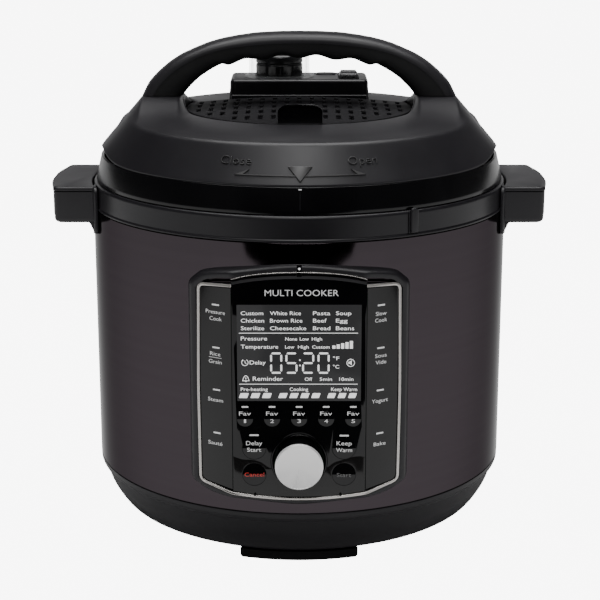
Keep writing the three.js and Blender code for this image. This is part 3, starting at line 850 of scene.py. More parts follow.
@dataclass
class Shell:
    """Dark steel wall, the collar above it with its index tab, and the lid's bayonet ring."""

    r: float = high("outer_housing", 0)
    bottom: float = low("outer_housing", 2)
    top: float = high("outer_housing", 2)
    skin: float = 1.0
    collar_bottom: float = low("upper_collar", 2)
    collar_top: float = high("upper_collar", 2)
    index_angle: float = 30.4  # degrees from the front towards +X
    lugs: int = 6

    def build(self, bench: Bench) -> None:
        """Makes the wall, collar, index tab and bayonet ring.

        Args:
            bench: for the pieces.
        """
        wall = soft([(self.r - self.skin, self.bottom), (self.r, self.bottom), (self.r, self.top),
                     (self.r - self.skin, self.top)], [0.2, 0.6, 0.6, 0.2], 5)
        windows = slab(rectangle(-50, -150, 50, -100, 1), [(0, 53), (0, 182)]) + slab(
            rectangle(-16.2, 100, 16.2, 150, 1), [(0, 47.5), (0, 74.5)])
        bench.piece("steel_wall", carved(turned(wall, closed=True), windows), BLACK_STEEL, ["outer_housing"])
        self.build_collar(bench)
        self.build_bayonet(bench)

    def build_collar(self, bench: Bench) -> None:
        """Makes the plastic collar, with a soft shoulder, a narrow slit and a raised tab beside it.

        Args:
            bench: for the pieces.
        """
        lip = 211.4
        profile = soft([
            (self.r, lip), (137.1, lip + 0.2), (137.1, 212.5), (136.5, 213.2), (136.3, 225.6),
            (135.4, self.collar_top), (130.5, self.collar_top),
            (130.5, 221.4), (126.2, 221.4), (126.2, self.collar_bottom), (134.8, self.collar_bottom),
            (134.8, lip),
        ], [0.2, 0.25, 0.45, 0.4, 1.0, 0.9, 0.6, 0.4, 0.4, 0.4, 0.4, 0.3], 6)
        slit = slab(rectangle(-0.4, -140, 0.4, -135.6, 0.1), [(0, 212.6), (0, 229)]).turned_z(28.7)
        bench.piece("collar", carved(turned(profile, closed=True), slit), SATIN, ["upper_collar"])
        outline = soft([(-2.7, 213.4), (2.7, 213.4), (2.7, 228.6), (-2.7, 228.6)], [0.5, 0.5, 2.4, 2.4], 8)
        tab = slab(outline, rolled_edge(0, 2.0, 0.1, 0.8))
        index = math.radians(self.index_angle)
        bent = tab.mapped(lambda x, y, z: (
            (135.9 + z) * np.sin(index + x / self.r), -(135.9 + z) * np.cos(index + x / self.r), y))
        bench.piece("index_tab", bent, SATIN)

    def build_bayonet(self, bench: Bench) -> None:
        """Makes the steel ring with its inward lugs.

        Args:
            bench: for the pieces.
        """
        z1 = high("bayonet_ring", 2)
        ring = turned(soft([(125.6, 221.8), (130.1, 221.8), (130.1, z1), (125.6, z1)], 0.3, 4), closed=True)
        ears = joined([
            slab(ring_sector(119.6, 126.2, (n + 0.5) * 360 / self.lugs, 12.5, 1.6),
                 rolled_edge(224.9, z1, 0.3, 0.5))
            for n in range(self.lugs)
        ])
        bench.piece("bayonet", ring + ears, STEEL, ["bayonet_ring"])


@dataclass
class Heater:
    """Heated well, cast heating plate with its grooves, and the sprung sensor."""

    well_r: float = 114.5
    plate_r: float = high("heating_plate", 0)
    plate_top: float = high("heating_plate", 2)
    bottom: float = low("heating_plate", 2)
    grooves: int = 5

    def build(self, bench: Bench, sensor_bench: Bench) -> None:
        """Makes the well, the plate and the sensor.

        Args:
            bench: for the pieces.
            sensor_bench: for the sensor.
        """
        rim = high("heated_well", 2)
        well = soft([(90, 45), (self.well_r + 1, 45), (self.well_r + 1, rim - 1), (125.8, rim - 1),
                     (125.8, rim), (self.well_r, rim), (self.well_r, 46), (90, 46)],
                    [0.2, 4, 0.8, 0.3, 0.3, 1.2, 3.4, 0.2], 6)
        bench.piece("well_liner", turned(well, closed=True), CAST_ALUMINIUM, ["heated_well"])
        top = []
        for n in range(self.grooves):
            r = 22 + n * 13
            top += [(r, self.plate_top), (r + 0.5, self.plate_top - 0.6), (r + 2, self.plate_top - 0.6),
                    (r + 2.5, self.plate_top)]
        edge = [(self.plate_r - 2.6, self.plate_top), (self.plate_r, self.plate_top - 2),
                (self.plate_r, self.bottom), (9.7, self.bottom), (9.7, self.plate_top)]
        plate = soft(top + edge, [0.2] * len(top) + [1, 1, 0.6, 0.4, 0.4], 4)
        bench.piece("heater_disc", turned(plate, closed=True, segments=128), CAST_ALUMINIUM,
                    ["heating_plate"])
        cap = soft([(0, 44), (9, 44), (9, self.plate_top - 1.2), (7.6, self.plate_top), (0, self.plate_top)],
                   [0.1, 0.4, 0.8, 0.8, 0.1], 5, closed=False)
        sensor_bench.piece("sensor_button", turned(cap, segments=64), PRESSED_STEEL, ["temperature_sensor"])


@dataclass
class Pot:
    """Removable pot with a rolled rim, a rounded floor and level lines pressed inside."""

    r: float = 110.5
    wall: float = 1.2
    floor: float = low("inner_pot", 2)
    rim_r: float = high("inner_pot", 0)
    rim_top: float = high("inner_pot", 2)
    levels: tuple[float, ...] = (98.0, 126.0, 154.0, 166.0)

    def build(self, bench: Bench) -> None:
        """Makes the pot and its level marks.

        Args:
            bench: for the pieces.
        """
        inner = self.r - self.wall
        profile = soft([
            (0, self.floor), (98, self.floor), (106, 59), (self.r, 66), (self.r, self.rim_top - 2.0),
            (self.rim_r - 1.0, self.rim_top - 1.6), (self.rim_r, self.rim_top - 2.4),
            (self.rim_r, self.rim_top), (inner, self.rim_top), (inner, 66.4), (105.2, 60.4),
            (97.6, self.floor + 1.6), (0, self.floor + 1.6),
        ], [0.1, 3, 4, 4, 1.0, 0.3, 0.3, 0.6, 1.6, 4, 4, 3, 0.1], 6, closed=False)
        bench.piece("steel_pot", turned(profile), STEEL, ["inner_pot"])
        marks = []
        for n, z in enumerate(self.levels):
            half = 0.055 if n % 2 else 0.11
            line = slab(rectangle(-half * self.r, z - 0.5, half * self.r, z + 0.5, 0.3, 4),
                        [(0, 0), (0.1, 0.35)])
            marks.append(line)
        flat = joined(marks)
        bent = flat.mapped(lambda x, y, z: (
            -(inner - z) * np.sin(x / inner), (inner - z) * np.cos(x / inner), y))
        bench.piece("level_lines", bent, PRESSED_STEEL)


@dataclass
class SideHandle:
    """Side grip: a body with a finger pocket below, a flange on the wall and a separate cap on top."""

    side: str
    reach: float = high("handle_right", 0)
    half: float = 42.0
    cap_bottom: float = 223.9
    top: float = high("handle_cap_right", 2)
    bottom: float = 202.5

    def plan(self, shrink: float, count: int = 44) -> Array:
        """Outline in plan: out along a straight side, round a bowed end and back along the wall's arc.

        Args:
            shrink: how far it moves inwards.
            count: points on the arc.

        Returns:
            The points.
        """
        y, reach = self.half - shrink, self.reach - shrink
        end = soft([(150, -y), (reach - 4.6, -y), (reach - 3.6, -y + 8), (reach, -15), (reach, 15),
                    (reach - 3.6, y - 8), (reach - 4.6, y), (150, y)], [0.1, 3.4, 6, 12, 12, 6, 3.4, 0.1], 7,
                   False)
        arc = math.asin(y / (WALL_R + shrink))
        a = np.linspace(arc, -arc, count)
        back = (WALL_R + shrink) * np.column_stack([np.cos(a), np.sin(a)])
        return np.vstack([end, back])

    def grip(self) -> Surface:
        """Body of the grip, from its roof down round a rolled edge and up into the finger pocket.

        Returns:
            The surface.
        """
        outer = self.plan(0)
        middle_x, pocket_half = 149.5, 34.0
        a = np.arctan2((outer[:, 1]) / self.half, (outer[:, 0] - middle_x) / 13.5)
        power = 0.28
        pocket = np.column_stack([
            middle_x + 7.0 * np.sign(np.cos(a)) * np.abs(np.cos(a)) ** power,
            pocket_half * np.sign(np.sin(a)) * np.abs(np.sin(a)) ** power,
        ])
        rows = [level(self.plan(i), self.cap_bottom - drop)
                for i, drop in ((1.0, 0.4), (0.5, 0.8), (0.5, 1.6))]
        rows += [level(self.plan(3.2 * (1 - math.cos(t)) + 0.5), 205.7 - 3.2 * math.sin(t))
                 for t in np.linspace(0, np.pi / 2, 7)]
        rim = rows[-1][:, :2]
        blend = [(0.75, self.bottom), (0.94, self.bottom + 0.3), (1.0, self.bottom + 1.4), (1.0, 215.0)]
        rows += [level(rim * (1 - w) + pocket * w, z) for w, z in blend]
        return lofted(np.stack(rows), capped=True)

    def flange(self) -> Surface:
        """Thin curved root against the steel wall with a rounded lower edge.

        Returns:
            The surface.
        """
        width = math.radians(19.0) * WALL_R
        plate = slab(rectangle(-width, 195.4, width, 226.5, 5, 8), rolled_edge(0, 2.4, 0.1, 1.3))
        return plate.mapped(lambda x, y, z: ((WALL_R + z) * np.cos(x / WALL_R),
                                             (WALL_R + z) * np.sin(x / WALL_R), y))

    def gusset(self) -> Surface:
        """Sloping fillet that runs from the flange out under the grip.

        Returns:
            The surface.
        """
        y = np.linspace(-self.half + 2, self.half - 2, 30)
        foot = np.sqrt((WALL_R + 2.0) ** 2 - y ** 2)
        points = [(0.0, 196.5), (0.0, 204.5), (5.6, 204.5), (2.2, 201.6)]
        grid = np.stack([np.stack([foot + dx - 0.4, y, np.full_like(y, z)], axis=-1) for dx, z in points],
                        axis=1)
        return lofted(grid, capped=True)

    def cap(self) -> Surface:
        """Top cap with a rolled upper edge, cut back to the wall's arc.

        Returns:
            The surface.
        """
        levels = rolled_edge(self.cap_bottom, self.top, 0.3, 1.5, 6)
        rows = [level(self.plan(i), z) for i, z in levels]
        return lofted(np.stack(rows), capped=True)

    def build(self, bench: Bench) -> None:
        """Makes both pieces on this side.

        Args:
            bench: for the pieces.
        """
        turn = 0.0 if self.side == "right" else 180.0
        body = self.grip() + self.flange() + self.gusset()
        bench.piece(f"side_grip_{self.side}", body.turned_z(turn), MOULDED, [f"handle_{self.side}"])
        bench.piece(f"side_cap_{self.side}", self.cap().turned_z(turn), MOULDED, [f"handle_cap_{self.side}"])


# ---- control panel

FOLD_X = 41.0  # the face folds back past this X
FOLD_TURN = math.radians(28.0)
FOLD = math.tan(FOLD_TURN)


def on_face(surface: Surface, back: float = 0.0) -> Surface:
    """A surface drawn in X and Y with its height along Z, laid on the folded panel face.

    Its X and Y become X and Z, and its height stands out towards -Y from
    Y = face + slope of the fold times how far |X| is past the fold line.
    """
    return surface.mapped(lambda x, y, z: (
        x, FACE_Y + back - z + FOLD * np.maximum(np.abs(x) - FOLD_X, 0), y))


def on_strip(surface: Surface, side: float, along: float, z: float) -> Surface:
    """Lettering laid on a folded side strip: X is measured along the strip from the fold line.

    Args:
        surface: the lettering.
        side: 1 right, -1 left.
        along: start on the strip.
        z: height.

    Returns:
        The surface.
    """
    c, s = math.cos(FOLD_TURN), math.sin(FOLD_TURN)
    return surface.mapped(lambda x, y, h: (
        side * FOLD_X + c * (x + side * along) + side * s * h,
        FACE_Y + s * (side * x + along) - c * h, y + z))


def arch(points: Sequence[tuple[float, float]], count: int = 40) -> Array:
    """Smooth symmetric curve through points given for X of 0 and more: a polynomial in X^2.

    Args:
        points: X and height, the first at X = 0.
        count: points on the curve.

    Returns:
        The curve from left to right.
    """
    known = np.asarray(points, float)
    fit = np.polyfit(known[:, 0] ** 2, known[:, 1], len(known) - 1)
    x = np.linspace(-known[-1, 0], known[-1, 0], count)
    return np.column_stack([x, np.polyval(fit, x ** 2)])


def band(path: Array, width: float) -> Array:
    """Closed outline of a strip of constant width round an open path.

    Args:
        path: its middle line.
        width: its width.

    Returns:
        The outline.
    """
    run = np.gradient(path, axis=0)
    side = np.stack([-run[:, 1], run[:, 0]], axis=1) / np.linalg.norm(run, axis=1)[:, None] * width / 2
    return np.vstack([path - side, (path + side)[::-1]])


@dataclass
class ControlPanel:
    """Frame round the folded face, its silver trim, the gloss centre plate and the two side strips."""

    side: float = 66.6
    top_arch: tuple = ((0.0, 198.0), (21.0, 197.0), (46.0, 194.4), (59.0, 191.4))
    bottom_arch: tuple = ((0.0, 47.0), (22.0, 48.5), (44.0, 50.6), (58.0, 53.6))
    lens_top: tuple = ((0.0, 190.0), (20.0, 189.2), (40.4, 186.2))
    lens_bottom: tuple = ((0.0, 51.9), (20.0, 52.9), (40.4, 56.0))
    trim_x: float = 60.9
    trim_top: float = 185.4
    zone: tuple = ((-40.4, 78.4), (-37.5, 77.3), (-34, 76.2), (-28, 76.2), (-23, 74.6), (-18.6, 70.9),
                   (0, 66), (17.6, 71.2), (21, 74.4), (27.5, 76.4), (33.5, 78.2), (37.6, 78.5), (40.4, 77.6))

    def outline(self, shrink: float = 0.0) -> Array:
        """Frame outline: two arches joined by straight sides with soft corners, moved inwards.

        Args:
            shrink: how far it moves.

        Returns:
            The points.
        """
        top, bottom = arch(self.top_arch, 30)[::-1], arch(self.bottom_arch, 30)
        corners = np.vstack([bottom, [(self.side, 58.5)], [(self.side, 184.5)], top, [(-self.side, 184.5)],
                             [(-self.side, 58.5)]])
        back = np.full(len(corners), 0.6)
        back[[29, 30, 31, 32]] = [4, 3, 3, 4]
        back[[61, 62, 63, 0]] = [4, 3, 3, 4]
        return inset(soft(corners, back, 5), shrink) if shrink else soft(corners, back, 5)

    def frame_surface(self) -> Surface:
        """Frame: out from the wall along its side, round a soft edge, across the face, down into the tray.

        Returns:
            The surface.
        """
        loop = self.outline()
        wall = -np.sqrt(WALL_R ** 2 - loop[:, 0] ** 2)

        def row(shrink: float, out: float) -> Array:
            """One loop: shrink moves it inwards and out is the share of the way from wall to face.

            Args:
                shrink: how far it moves inwards.
                out: share of the way.

            Returns:
                The points.
            """
            flat = self.outline(shrink)
            face = FACE_Y + FOLD * np.maximum(np.abs(flat[:, 0]) - FOLD_X, 0)
            return np.column_stack([flat[:, 0], wall + (face - wall) * out, flat[:, 1]])

        steps = np.linspace(0, np.pi / 2, 7)
        rows = [row(-0.5, -0.02), row(-0.35, 0.06), row(-0.05, 0.3)]
        rows += [row(1.9 * (1 - math.cos(t)), 0.3 + 0.7 * math.sin(t)) for t in steps[1:]]
        rows += [row(s, 1.0) for s in (2.6, 3.6)]
        rows += [row(4.3, 0.97), row(4.6, 0.88), row(4.7, 0.6)]
        inner = self.outline(4.7)
        rows.append(np.column_stack([inner[:, 0], np.full(len(inner), -119.0) + 0 * wall, inner[:, 1]]))
        rows.append(np.column_stack([loop[:, 0] * 0.995, np.maximum(wall + 0.1, -119.0), loop[:, 1]]))
        return lofted(np.stack(rows), looped=True)

    def trim_path(self) -> Array:
        """Open path of the trim: out along the top from the centre plate, down the side, along the bottom.

        Returns:
            The points.
        """
        low_arch = arch(((0, 50.8), (22, 51.9), (42.5, 54.8)), 24)
        half = [(-40.4, self.trim_top + 0.4), (-self.trim_x + 0.4, self.trim_top - 0.7),
                (-self.trim_x - 0.5, 120), (-self.trim_x, 59.6)]
        mirrored = [(-x, z) for x, z in half[::-1]]
        corners = np.vstack([half, low_arch, mirrored])
        back = np.full(len(corners), 1.0)
        back[[1, -2]] = 3.4
        back[[2, -3]] = 12.0
        back[[3, -4]] = 3.6
        return soft(corners, back, 8, closed=False)

    def plate(self, upper: bool) -> Array:
        """Outline of the upper or the lower part of the centre plate, which meet at a wavy line.

        Args:
            upper: the upper part.

        Returns:
            The points.
        """
        border = soft(self.zone, 2.4, 5, closed=False)
        if upper:
            return np.vstack([border + [0, 0.02], arch(self.lens_top)[::-1]])
        return np.vstack([arch(self.lens_bottom), border[::-1] - [0, 0.02]])

    def strip(self) -> Array:
        """Outline of the right side strip.

        Returns:
            The points.
        """
        x1 = self.trim_x - 1.5
        return soft([(FOLD_X - 0.3, 56.9), (x1 - 2, 60.1), (x1 + 0.3, 62), (x1 + 0.7, 120), (x1 + 0.4, 183.6),
                     (FOLD_X - 0.3, 184.4)], [0.1, 1.5, 2, 4, 2, 0.1], 5)

    def build(self, bench: Bench) -> None:
        """Makes the panel's fixed pieces.

        Args:
            bench: for the pieces.
        """
        bench.piece("panel_frame", self.frame_surface(), MOULDED, ["panel_bezel"], crease=40)
        strip_levels = rolled_edge(-1.0, 0.75, 0.1, 0.5)
        trim = on_face(slab(band(self.trim_path(), 1.75), strip_levels))
        bench.piece("silver_line", trim, SILVER, ["panel_trim"])
        brow = arch(((0, 194.0), (21.4, 193.2), (40.4, 189.7)))
        bench.piece("brow_line", on_face(slab(band(brow, 0.42), rolled_edge(-1, 0.35, 0.05, 0.15))), SILVER)
        self.build_brow(bench)
        holes = joined([slab(circle(*key.at, key.r + 0.18), [(0, -3), (0, 3)]) for key in KEYS]
                       + [slab(circle(0, KNOB_Z, 17.45, 96), [(0, -3), (0, 3)])])
        levels = rolled_edge(-1.6, 0.0, 0.05, 0.12, 3)
        upper = on_face(carved(slab(self.plate(True), levels), holes))
        bench.piece("gloss_plate", upper, GLOSS, ["panel_lens"])
        lower = on_face(carved(slab(self.plate(False), levels), holes))
        bench.piece("lower_plate", lower, LOWER_PLATE)
        right = on_face(slab(self.strip(), levels))
        left = right.mapped(lambda x, y, z: (-x, y, z))
        bench.piece("strip_right", right, STRIP, ["side_strip_right"])
        bench.piece("strip_left", left, STRIP, ["side_strip_left"])
        screws = joined([slab(circle(x, 53.4, 0.75, 16), rolled_edge(0.5, 0.9, 0.05, 0.15, 3))
                         for x in (-27, 25.4)])
        bench.piece("trim_notches", on_face(screws), GLOSS)

    def build_brow(self, bench: Bench) -> None:
        """Makes the bevelled band over the centre plate, the notch in the frame's top and its light dot.

        Args:
            bench: for the pieces.
        """
        low_edge, high_edge = arch(((0, 190.2), (20, 189.4), (40.4, 186.4))), arch(
            ((0, 191.8), (20, 191.0), (40.4, 187.9)))
        rows = [(low_edge, 1.6), (low_edge, -0.25), (high_edge, 0.45), (high_edge, 1.6)]
        grid = np.stack([np.column_stack([p[:, 0], np.full(len(p), FACE_Y + y), p[:, 1]]) for p, y in rows])
        bevel = lofted(grid.transpose(1, 0, 2), capped=True)
        bench.piece("brow_band", bevel, SATIN)
        notch = slab(rectangle(-1.5, 191.5, 1.6, 198.4, 0.5), rolled_edge(-1.0, 0.12, 0.05, 0.08, 3))
        bench.piece("frame_notch", on_face(notch), GLOSS)
        dot = turned(soft([(0, 0), (0.75, 0), (0.55, 0.4), (0, 0.5)], [0.05, 0.1, 0.1, 0.05], 4, False),
                     segments=24)
        bench.piece("notch_dot", on_face(dot.moved(0.1, 196.2)), LIT)


@dataclass(frozen=True)
class Key:
    """One round key with the words on it: text, height above the key's middle, width.

    Words that reach past the key are printed on the plate and stay with the base.
    """

    node: str
    words: tuple[tuple[str, float, float], ...]
    dash: float  # height of the indicator bar above the key's middle
    height: float  # of the capitals
    print_finish: Finish = PRINT

    @property
    def at(self) -> tuple[float, float]:
        """Centre of the key in X and Z."""
        centre = middle(self.node)
        return float(centre[0]), float(centre[2])

    @property
    def r(self) -> float:
        """Radius of the key."""
        return (high(self.node, 0) - low(self.node, 0)) / 2

    def build(self) -> None:
        """Makes the key's gabled cap, whose two halves lean back from a level ridge, and its lettering."""
        bench = Bench(self.node)
        lean, crown, x0, z0 = math.tan(math.radians(4.2)), 0.38, *self.at
        profile = soft([(0, crown), (self.r * 0.5, crown), (self.r - 0.05, crown), (self.r, crown - 0.1),
                        (self.r, -2.0), (0, -2.0)], [0.05, 0.1, 0.05, 0.05, 0.1, 0.05], 3, False)

        def gable(x: Array, y: Array, z: Array) -> tuple[Array, Array, Array]:
            """Height falls by the lean times the distance from the ridge, in front of the panel only."""
            return x, y, np.where(z > -0.5, z - lean * np.abs(y), z)

        cap = turned(profile, segments=64).turned_z(90).mapped(gable)
        bench.piece(self.node + "_cap", on_face(cap.moved(x0, z0)), GLOSS, [self.node], crease=2.0)
        for holder, name, inside in ((bench, "_words", True), (Bench("base"), "_label", False)):
            words = [lettering(text, self.height, width, 0.1, 0.03).moved(0, up)
                     for text, up, width in self.words
                     if (math.hypot(width / 2, up + self.height / 2) < self.r + 0.25) == inside]
            if words:
                raised = joined(words).moved(z=crown + 0.03).mapped(gable)
                holder.piece(self.node + name, on_face(raised.moved(x0, z0)), self.print_finish)


KEYS = [Key(f"key_fav_{n}", (("Fav", 3.6, 7.2), (str(n), -1.2, 1.2 if n == 1 else 2.2)), 7.7, 2.5)
        for n in range(1, 6)]
KEYS += [
    Key("key_delay_start", (("Delay", 3.3, 9.8), ("Start", -0.9, 8.6)), 8.3, 2.7),
    Key("key_keep_warm", (("Keep", 3.2, 9.2), ("Warm", -1.1, 9.8)), 8.0, 2.7),
    Key("key_cancel", (("Cancel", 0.1, 12.0),), 0.0, 2.7, RED_PRINT),
    Key("key_start", (("Start", -0.2, 8.8),), 0.0, 2.7, GREY_PRINT),
]

SEGMENTS_LIT = {"0": "abcdef", "2": "abged", "5": "afgcd"}


@dataclass
class Display:
    """Lit window: programme names, settings, a seven-segment clock, symbols and progress bars."""

    x0: float = -37.3
    x1: float = 37.3
    z0: float = 114.0
    z1: float = 174.2
    columns: tuple[float, ...] = (-34.8, -17.4, 8.3, 22.0)
    names: tuple = (
        (169.1, (("Custom", 13.4), ("White Rice", 18.5), ("Pasta", 10.3), ("Soup", 9.1))),
        (164.5, (("Chicken", 13.9), ("Brown Rice", 19.3), ("Beef", 8.1), ("Egg", 6.9))),
        (159.8, (("Sterilize", 13.9), ("Cheesecake", 21.6), ("Bread", 10.3), ("Beans", 10.9))),
    )
    words: tuple = (  # text, left end, height of its middle, width, capital height
        ("Pressure", -34.9, 153.4, 15.7, 2.6), ("None", -8.3, 153.1, 7.1, 2.1), ("Low", 0.4, 153.1, 5.5, 2.1),
        ("High", 7.6, 153.1, 6.1, 2.1), ("Temperature", -34.9, 148.3, 22.3, 2.6),
        ("Low", -8.4, 148.1, 5.5, 2.1), ("High", -0.7, 148.1, 6.5, 2.1), ("Custom", 7.8, 148.1, 10.5, 2.1),
        ("Delay", -29.7, 138.4, 9.6, 2.6), ("Reminder", -27.9, 128.2, 18.2, 2.8),
        ("Off", 3.4, 127.9, 4.5, 2.2), ("5min", 12.4, 127.9, 7.4, 2.2), ("10min", 24.2, 127.9, 8.5, 2.2),
        ("Pre-heating", -35.2, 121.5, 16.3, 2.3), ("Cooking", -5.7, 121.5, 11.1, 2.3),
        ("Keep Warm", 19.3, 121.5, 15.7, 2.3), ("°F", 20.3, 141.0, 3.8, 2.3), ("°C", 20.3, 135.7, 3.8, 2.3),
    )
    relief: float = 0.08

    def text(self, words: str, left: float, z: float, width: float, height: float) -> Surface:
        """Words whose left end and middle height are given."""
        return lettering(words, height, width, self.relief, 0.035).moved(left + width / 2, z)

    def raised(self, outline: Array) -> Surface:
        """Flat lit shape."""
        return slab(outline, [(0, 0), (0, self.relief)])

    def bar(self, x0: float, z0: float, x1: float, z1: float, r: float = 0.1) -> Surface:
        """Lit bar between two corners."""
        return self.raised(rectangle(x0, z0, x1, z1, r, 3))

    def digit(self, figure: str, x0: float, x1: float, z0: float = 131.3, z1: float = 144.6) -> Surface:
        """A seven-segment figure between two corners, each segment a bar with pointed ends.

        Args:
            figure: the numeral.
            x0: left edge.
            x1: right edge.
            z0: bottom.
            z1: top.

        Returns:
            The lit segments.
        """
        w, half, mid = 1.1, 0.55, (z0 + z1) / 2

        def across(z: float) -> Surface:
            """Level segment.

            Args:
                z: height.

            Returns:
                The surface.
            """
            a, b = x0 + 0.75, x1 - 0.75
            outline = [(a, z), (a + half, z - half), (b - half, z - half), (b, z), (b - half, z + half),
                       (a + half, z + half)]
            return self.raised(np.array(outline))

        def upright(x: float, za: float, zb: float) -> Surface:
            """Upright segment.

            Args:
                x: place.
                za: lower end.
                zb: upper end.

            Returns:
                The surface.
            """
            a, b = za + 0.75, zb - 0.75
            outline = [(x, a), (x + half, a + half), (x + half, b - half), (x, b), (x - half, b - half),
                       (x - half, a + half)]
            return self.raised(np.array(outline))

        left, right, foot, head = x0 + w / 2, x1 - w / 2, z0 + w / 2, z1 - w / 2
        parts = {
            "a": across(head), "g": across(mid), "d": across(foot), "f": upright(left, mid, head),
            "b": upright(right, mid, head), "e": upright(left, foot, mid), "c": upright(right, foot, mid),
        }
        return joined([parts[letter] for letter in SEGMENTS_LIT[figure]])

    def ring(self, x: float, z: float, r: float, width: float, start: float = 0,
             stop: float = 360) -> Surface:
        """Part of a thin ring."""
        a = np.radians(np.linspace(start, stop, 40))
        return self.raised(band(np.column_stack([x + r * np.cos(a), z + r * np.sin(a)]), width))

    def stroke(self, *points: tuple[float, float], width: float = 0.35) -> Surface:
        """Thin line through points."""
        return self.raised(band(np.array(points, float), width))

    def symbols(self) -> Surface:
        """Clock, bell and loudspeaker.

        Returns:
            The surface.
        """
        clock = self.ring(-32.6, 138.3, 1.95, 0.36, 120, 420)
        clock += self.stroke((-32.6, 139.5), (-32.5, 138.2), (-31.7, 137.6))
        tick = self.stroke((-34.2, 139.9), (-33.6, 139.4))
        bell_path = [(-34.0, 126.9), (-33.6, 128.3), (-33.0, 129.6), (-32.1, 130.1), (-31.2, 129.6),
                     (-30.6, 128.3), (-30.2, 126.9)]
        bell = self.stroke(*soft(bell_path, 0.4, 4, False), width=0.4)
        bell += self.stroke((-34.2, 126.8), (-30.0, 126.8))
        clapper = self.ring(-32.1, 126.9, 0.6, 0.3, 200, 340)
        clapper += self.stroke((-32.1, 128.9), (-32.1, 127.7), width=0.5)
        horn = self.raised(np.array([(29.6, 137.5), (30.5, 137.5), (31.6, 136.6), (31.6, 139.8),
                                     (30.5, 138.8), (29.6, 138.8)]))
        speaker = self.ring(31.0, 138.1, 2.3, 0.36, 0, 357) + horn
        return clock + tick + bell + clapper + speaker

    def progress(self) -> Surface:
        """Slanted progress bars in groups of three, four and three.

        Returns:
            The surface.
        """
        groups = ((-36.4, 3, 6.95), (-12.6, 4, 6.62), (16.9, 3, 6.3))
        bars = []
        for left, count, pitch in groups:
            for n in range(count):
                a, b = left + n * pitch, left + (n + 1) * pitch - 0.9
                corners = [(a, 115.9), (b - 1.1, 115.9), (b, 119.0), (a + 1.1, 119.0)]
                bars.append(self.raised(soft(corners, 0.3, 3)))
        return joined(bars)

    def build(self, bench: Bench) -> None:
        """Makes the window and what is lit in it.

        Args:
            bench: for the pieces.
        """
        window = slab(rectangle(self.x0, self.z0, self.x1, self.z1, 0.3),
                      rolled_edge(-0.4, 0.03, 0.05, 0.02, 3))
        bench.piece("display_window", on_face(window), DISPLAY)
        lit = [self.text(word, left, z, width, 2.5)
               for z, row in self.names for left, (word, width) in zip(self.columns, row)]
        lit += [self.text(*item) for item in self.words]
        bench.piece("display_words", on_face(joined(lit), -0.03), LIT)
        shapes = [self.bar(-36.1, z, 35.2, z + 0.32) for z in (156.5, 124.5)]
        shapes += [self.bar(19.9 + 2.62 * n, 147.0, 21.75 + 2.62 * n, 148.9 + 0.72 * n) for n in range(5)]
        spans = (("0", -17.4, -10.2), ("5", -8.2, -1.0), ("2", 1.8, 9.0), ("0", 11.1, 18.3))
        shapes += [self.digit(*span) for span in spans]
        shapes += [self.bar(0.0, z, 0.95, z + 0.95, 0.3) for z in (139.3, 136.0)]
        shapes += [self.symbols(), self.progress()]
        bench.piece("display_shapes", on_face(joined(shapes), -0.03), LIT)


@dataclass
class PanelPrint:
    """Indicator bars, the programme names on the side strips and the words over the display."""

    title: str = "MULTI COOKER"
    left: tuple = (  # words, distance from the fold line, height, width
        (("Pressure", 10.4, 168.6, 13.3), ("Cook", 10.3, 164.4, 8.4)),
        (("Rice", 10.9, 142.3, 7.2), ("Grain", 10.9, 137.4, 9.0)), (("Steam", 11.1, 113.2, 10.6),),
        (("Sauté", 11.6, 85.3, 10.0),),
    )
    right: tuple = (
        (("Slow", 9.2, 167.8, 7.4), ("Cook", 9.2, 163.7, 8.3)),
        (("Sous", 9.4, 141.5, 8.0), ("Vide", 9.5, 137.3, 7.5)), (("Yogurt", 9.1, 113.0, 11.2),),
        (("Bake", 9.3, 85.2, 8.4),),
    )
    dash_heights: tuple[float, ...] = (172.9, 146.2, 119.5, 91.9)

    def build(self, bench: Bench) -> None:
        """Makes the print on the strips and on the plate.

        Args:
            bench: for the pieces.
        """
        for name, side, groups in (("left", -1.0, self.left), ("right", 1.0, self.right)):
            words = [on_strip(lettering(word, 2.5, width, 0.09, 0.02).moved(z=0.03), side, along, z)
                     for group in groups for word, along, z, width in group]
            dash = slab(rectangle(-2.5, -0.5, 2.5, 0.5, 0.3, 4), [(0, 0), (0.05, 0.12)])
            words += [on_strip(dash, side, 10.3 if side < 0 else 9.3, z) for z in self.dash_heights]
            if side < 0:
                rule = slab(rectangle(-4.4, -0.12, 4.4, 0.12, 0.03, 3), [(0, 0), (0, 0.1)])
                words.append(on_strip(rule, side, 10.9, 139.9))
            bench.piece(f"programmes_{name}", joined(words), PRINT)
        bars = []
        for key in KEYS:
            if key.dash:
                half, z = 2.0 if key.r < 6 else 2.8, key.at[1] + key.dash
                bar = rectangle(key.at[0] - half, z - 0.5, key.at[0] + half, z + 0.5, 0.3, 4)
                bars.append(slab(bar, [(0, 0), (0.05, 0.12)]))
        bench.piece("indicator_bars", on_face(joined(bars)), PRINT)
        title = lettering(self.title, 4.0, 44.0, 0.1, 0.02).moved(1.5, 181.6, 0.02)
        bench.piece("panel_title", on_face(title), PRINT)


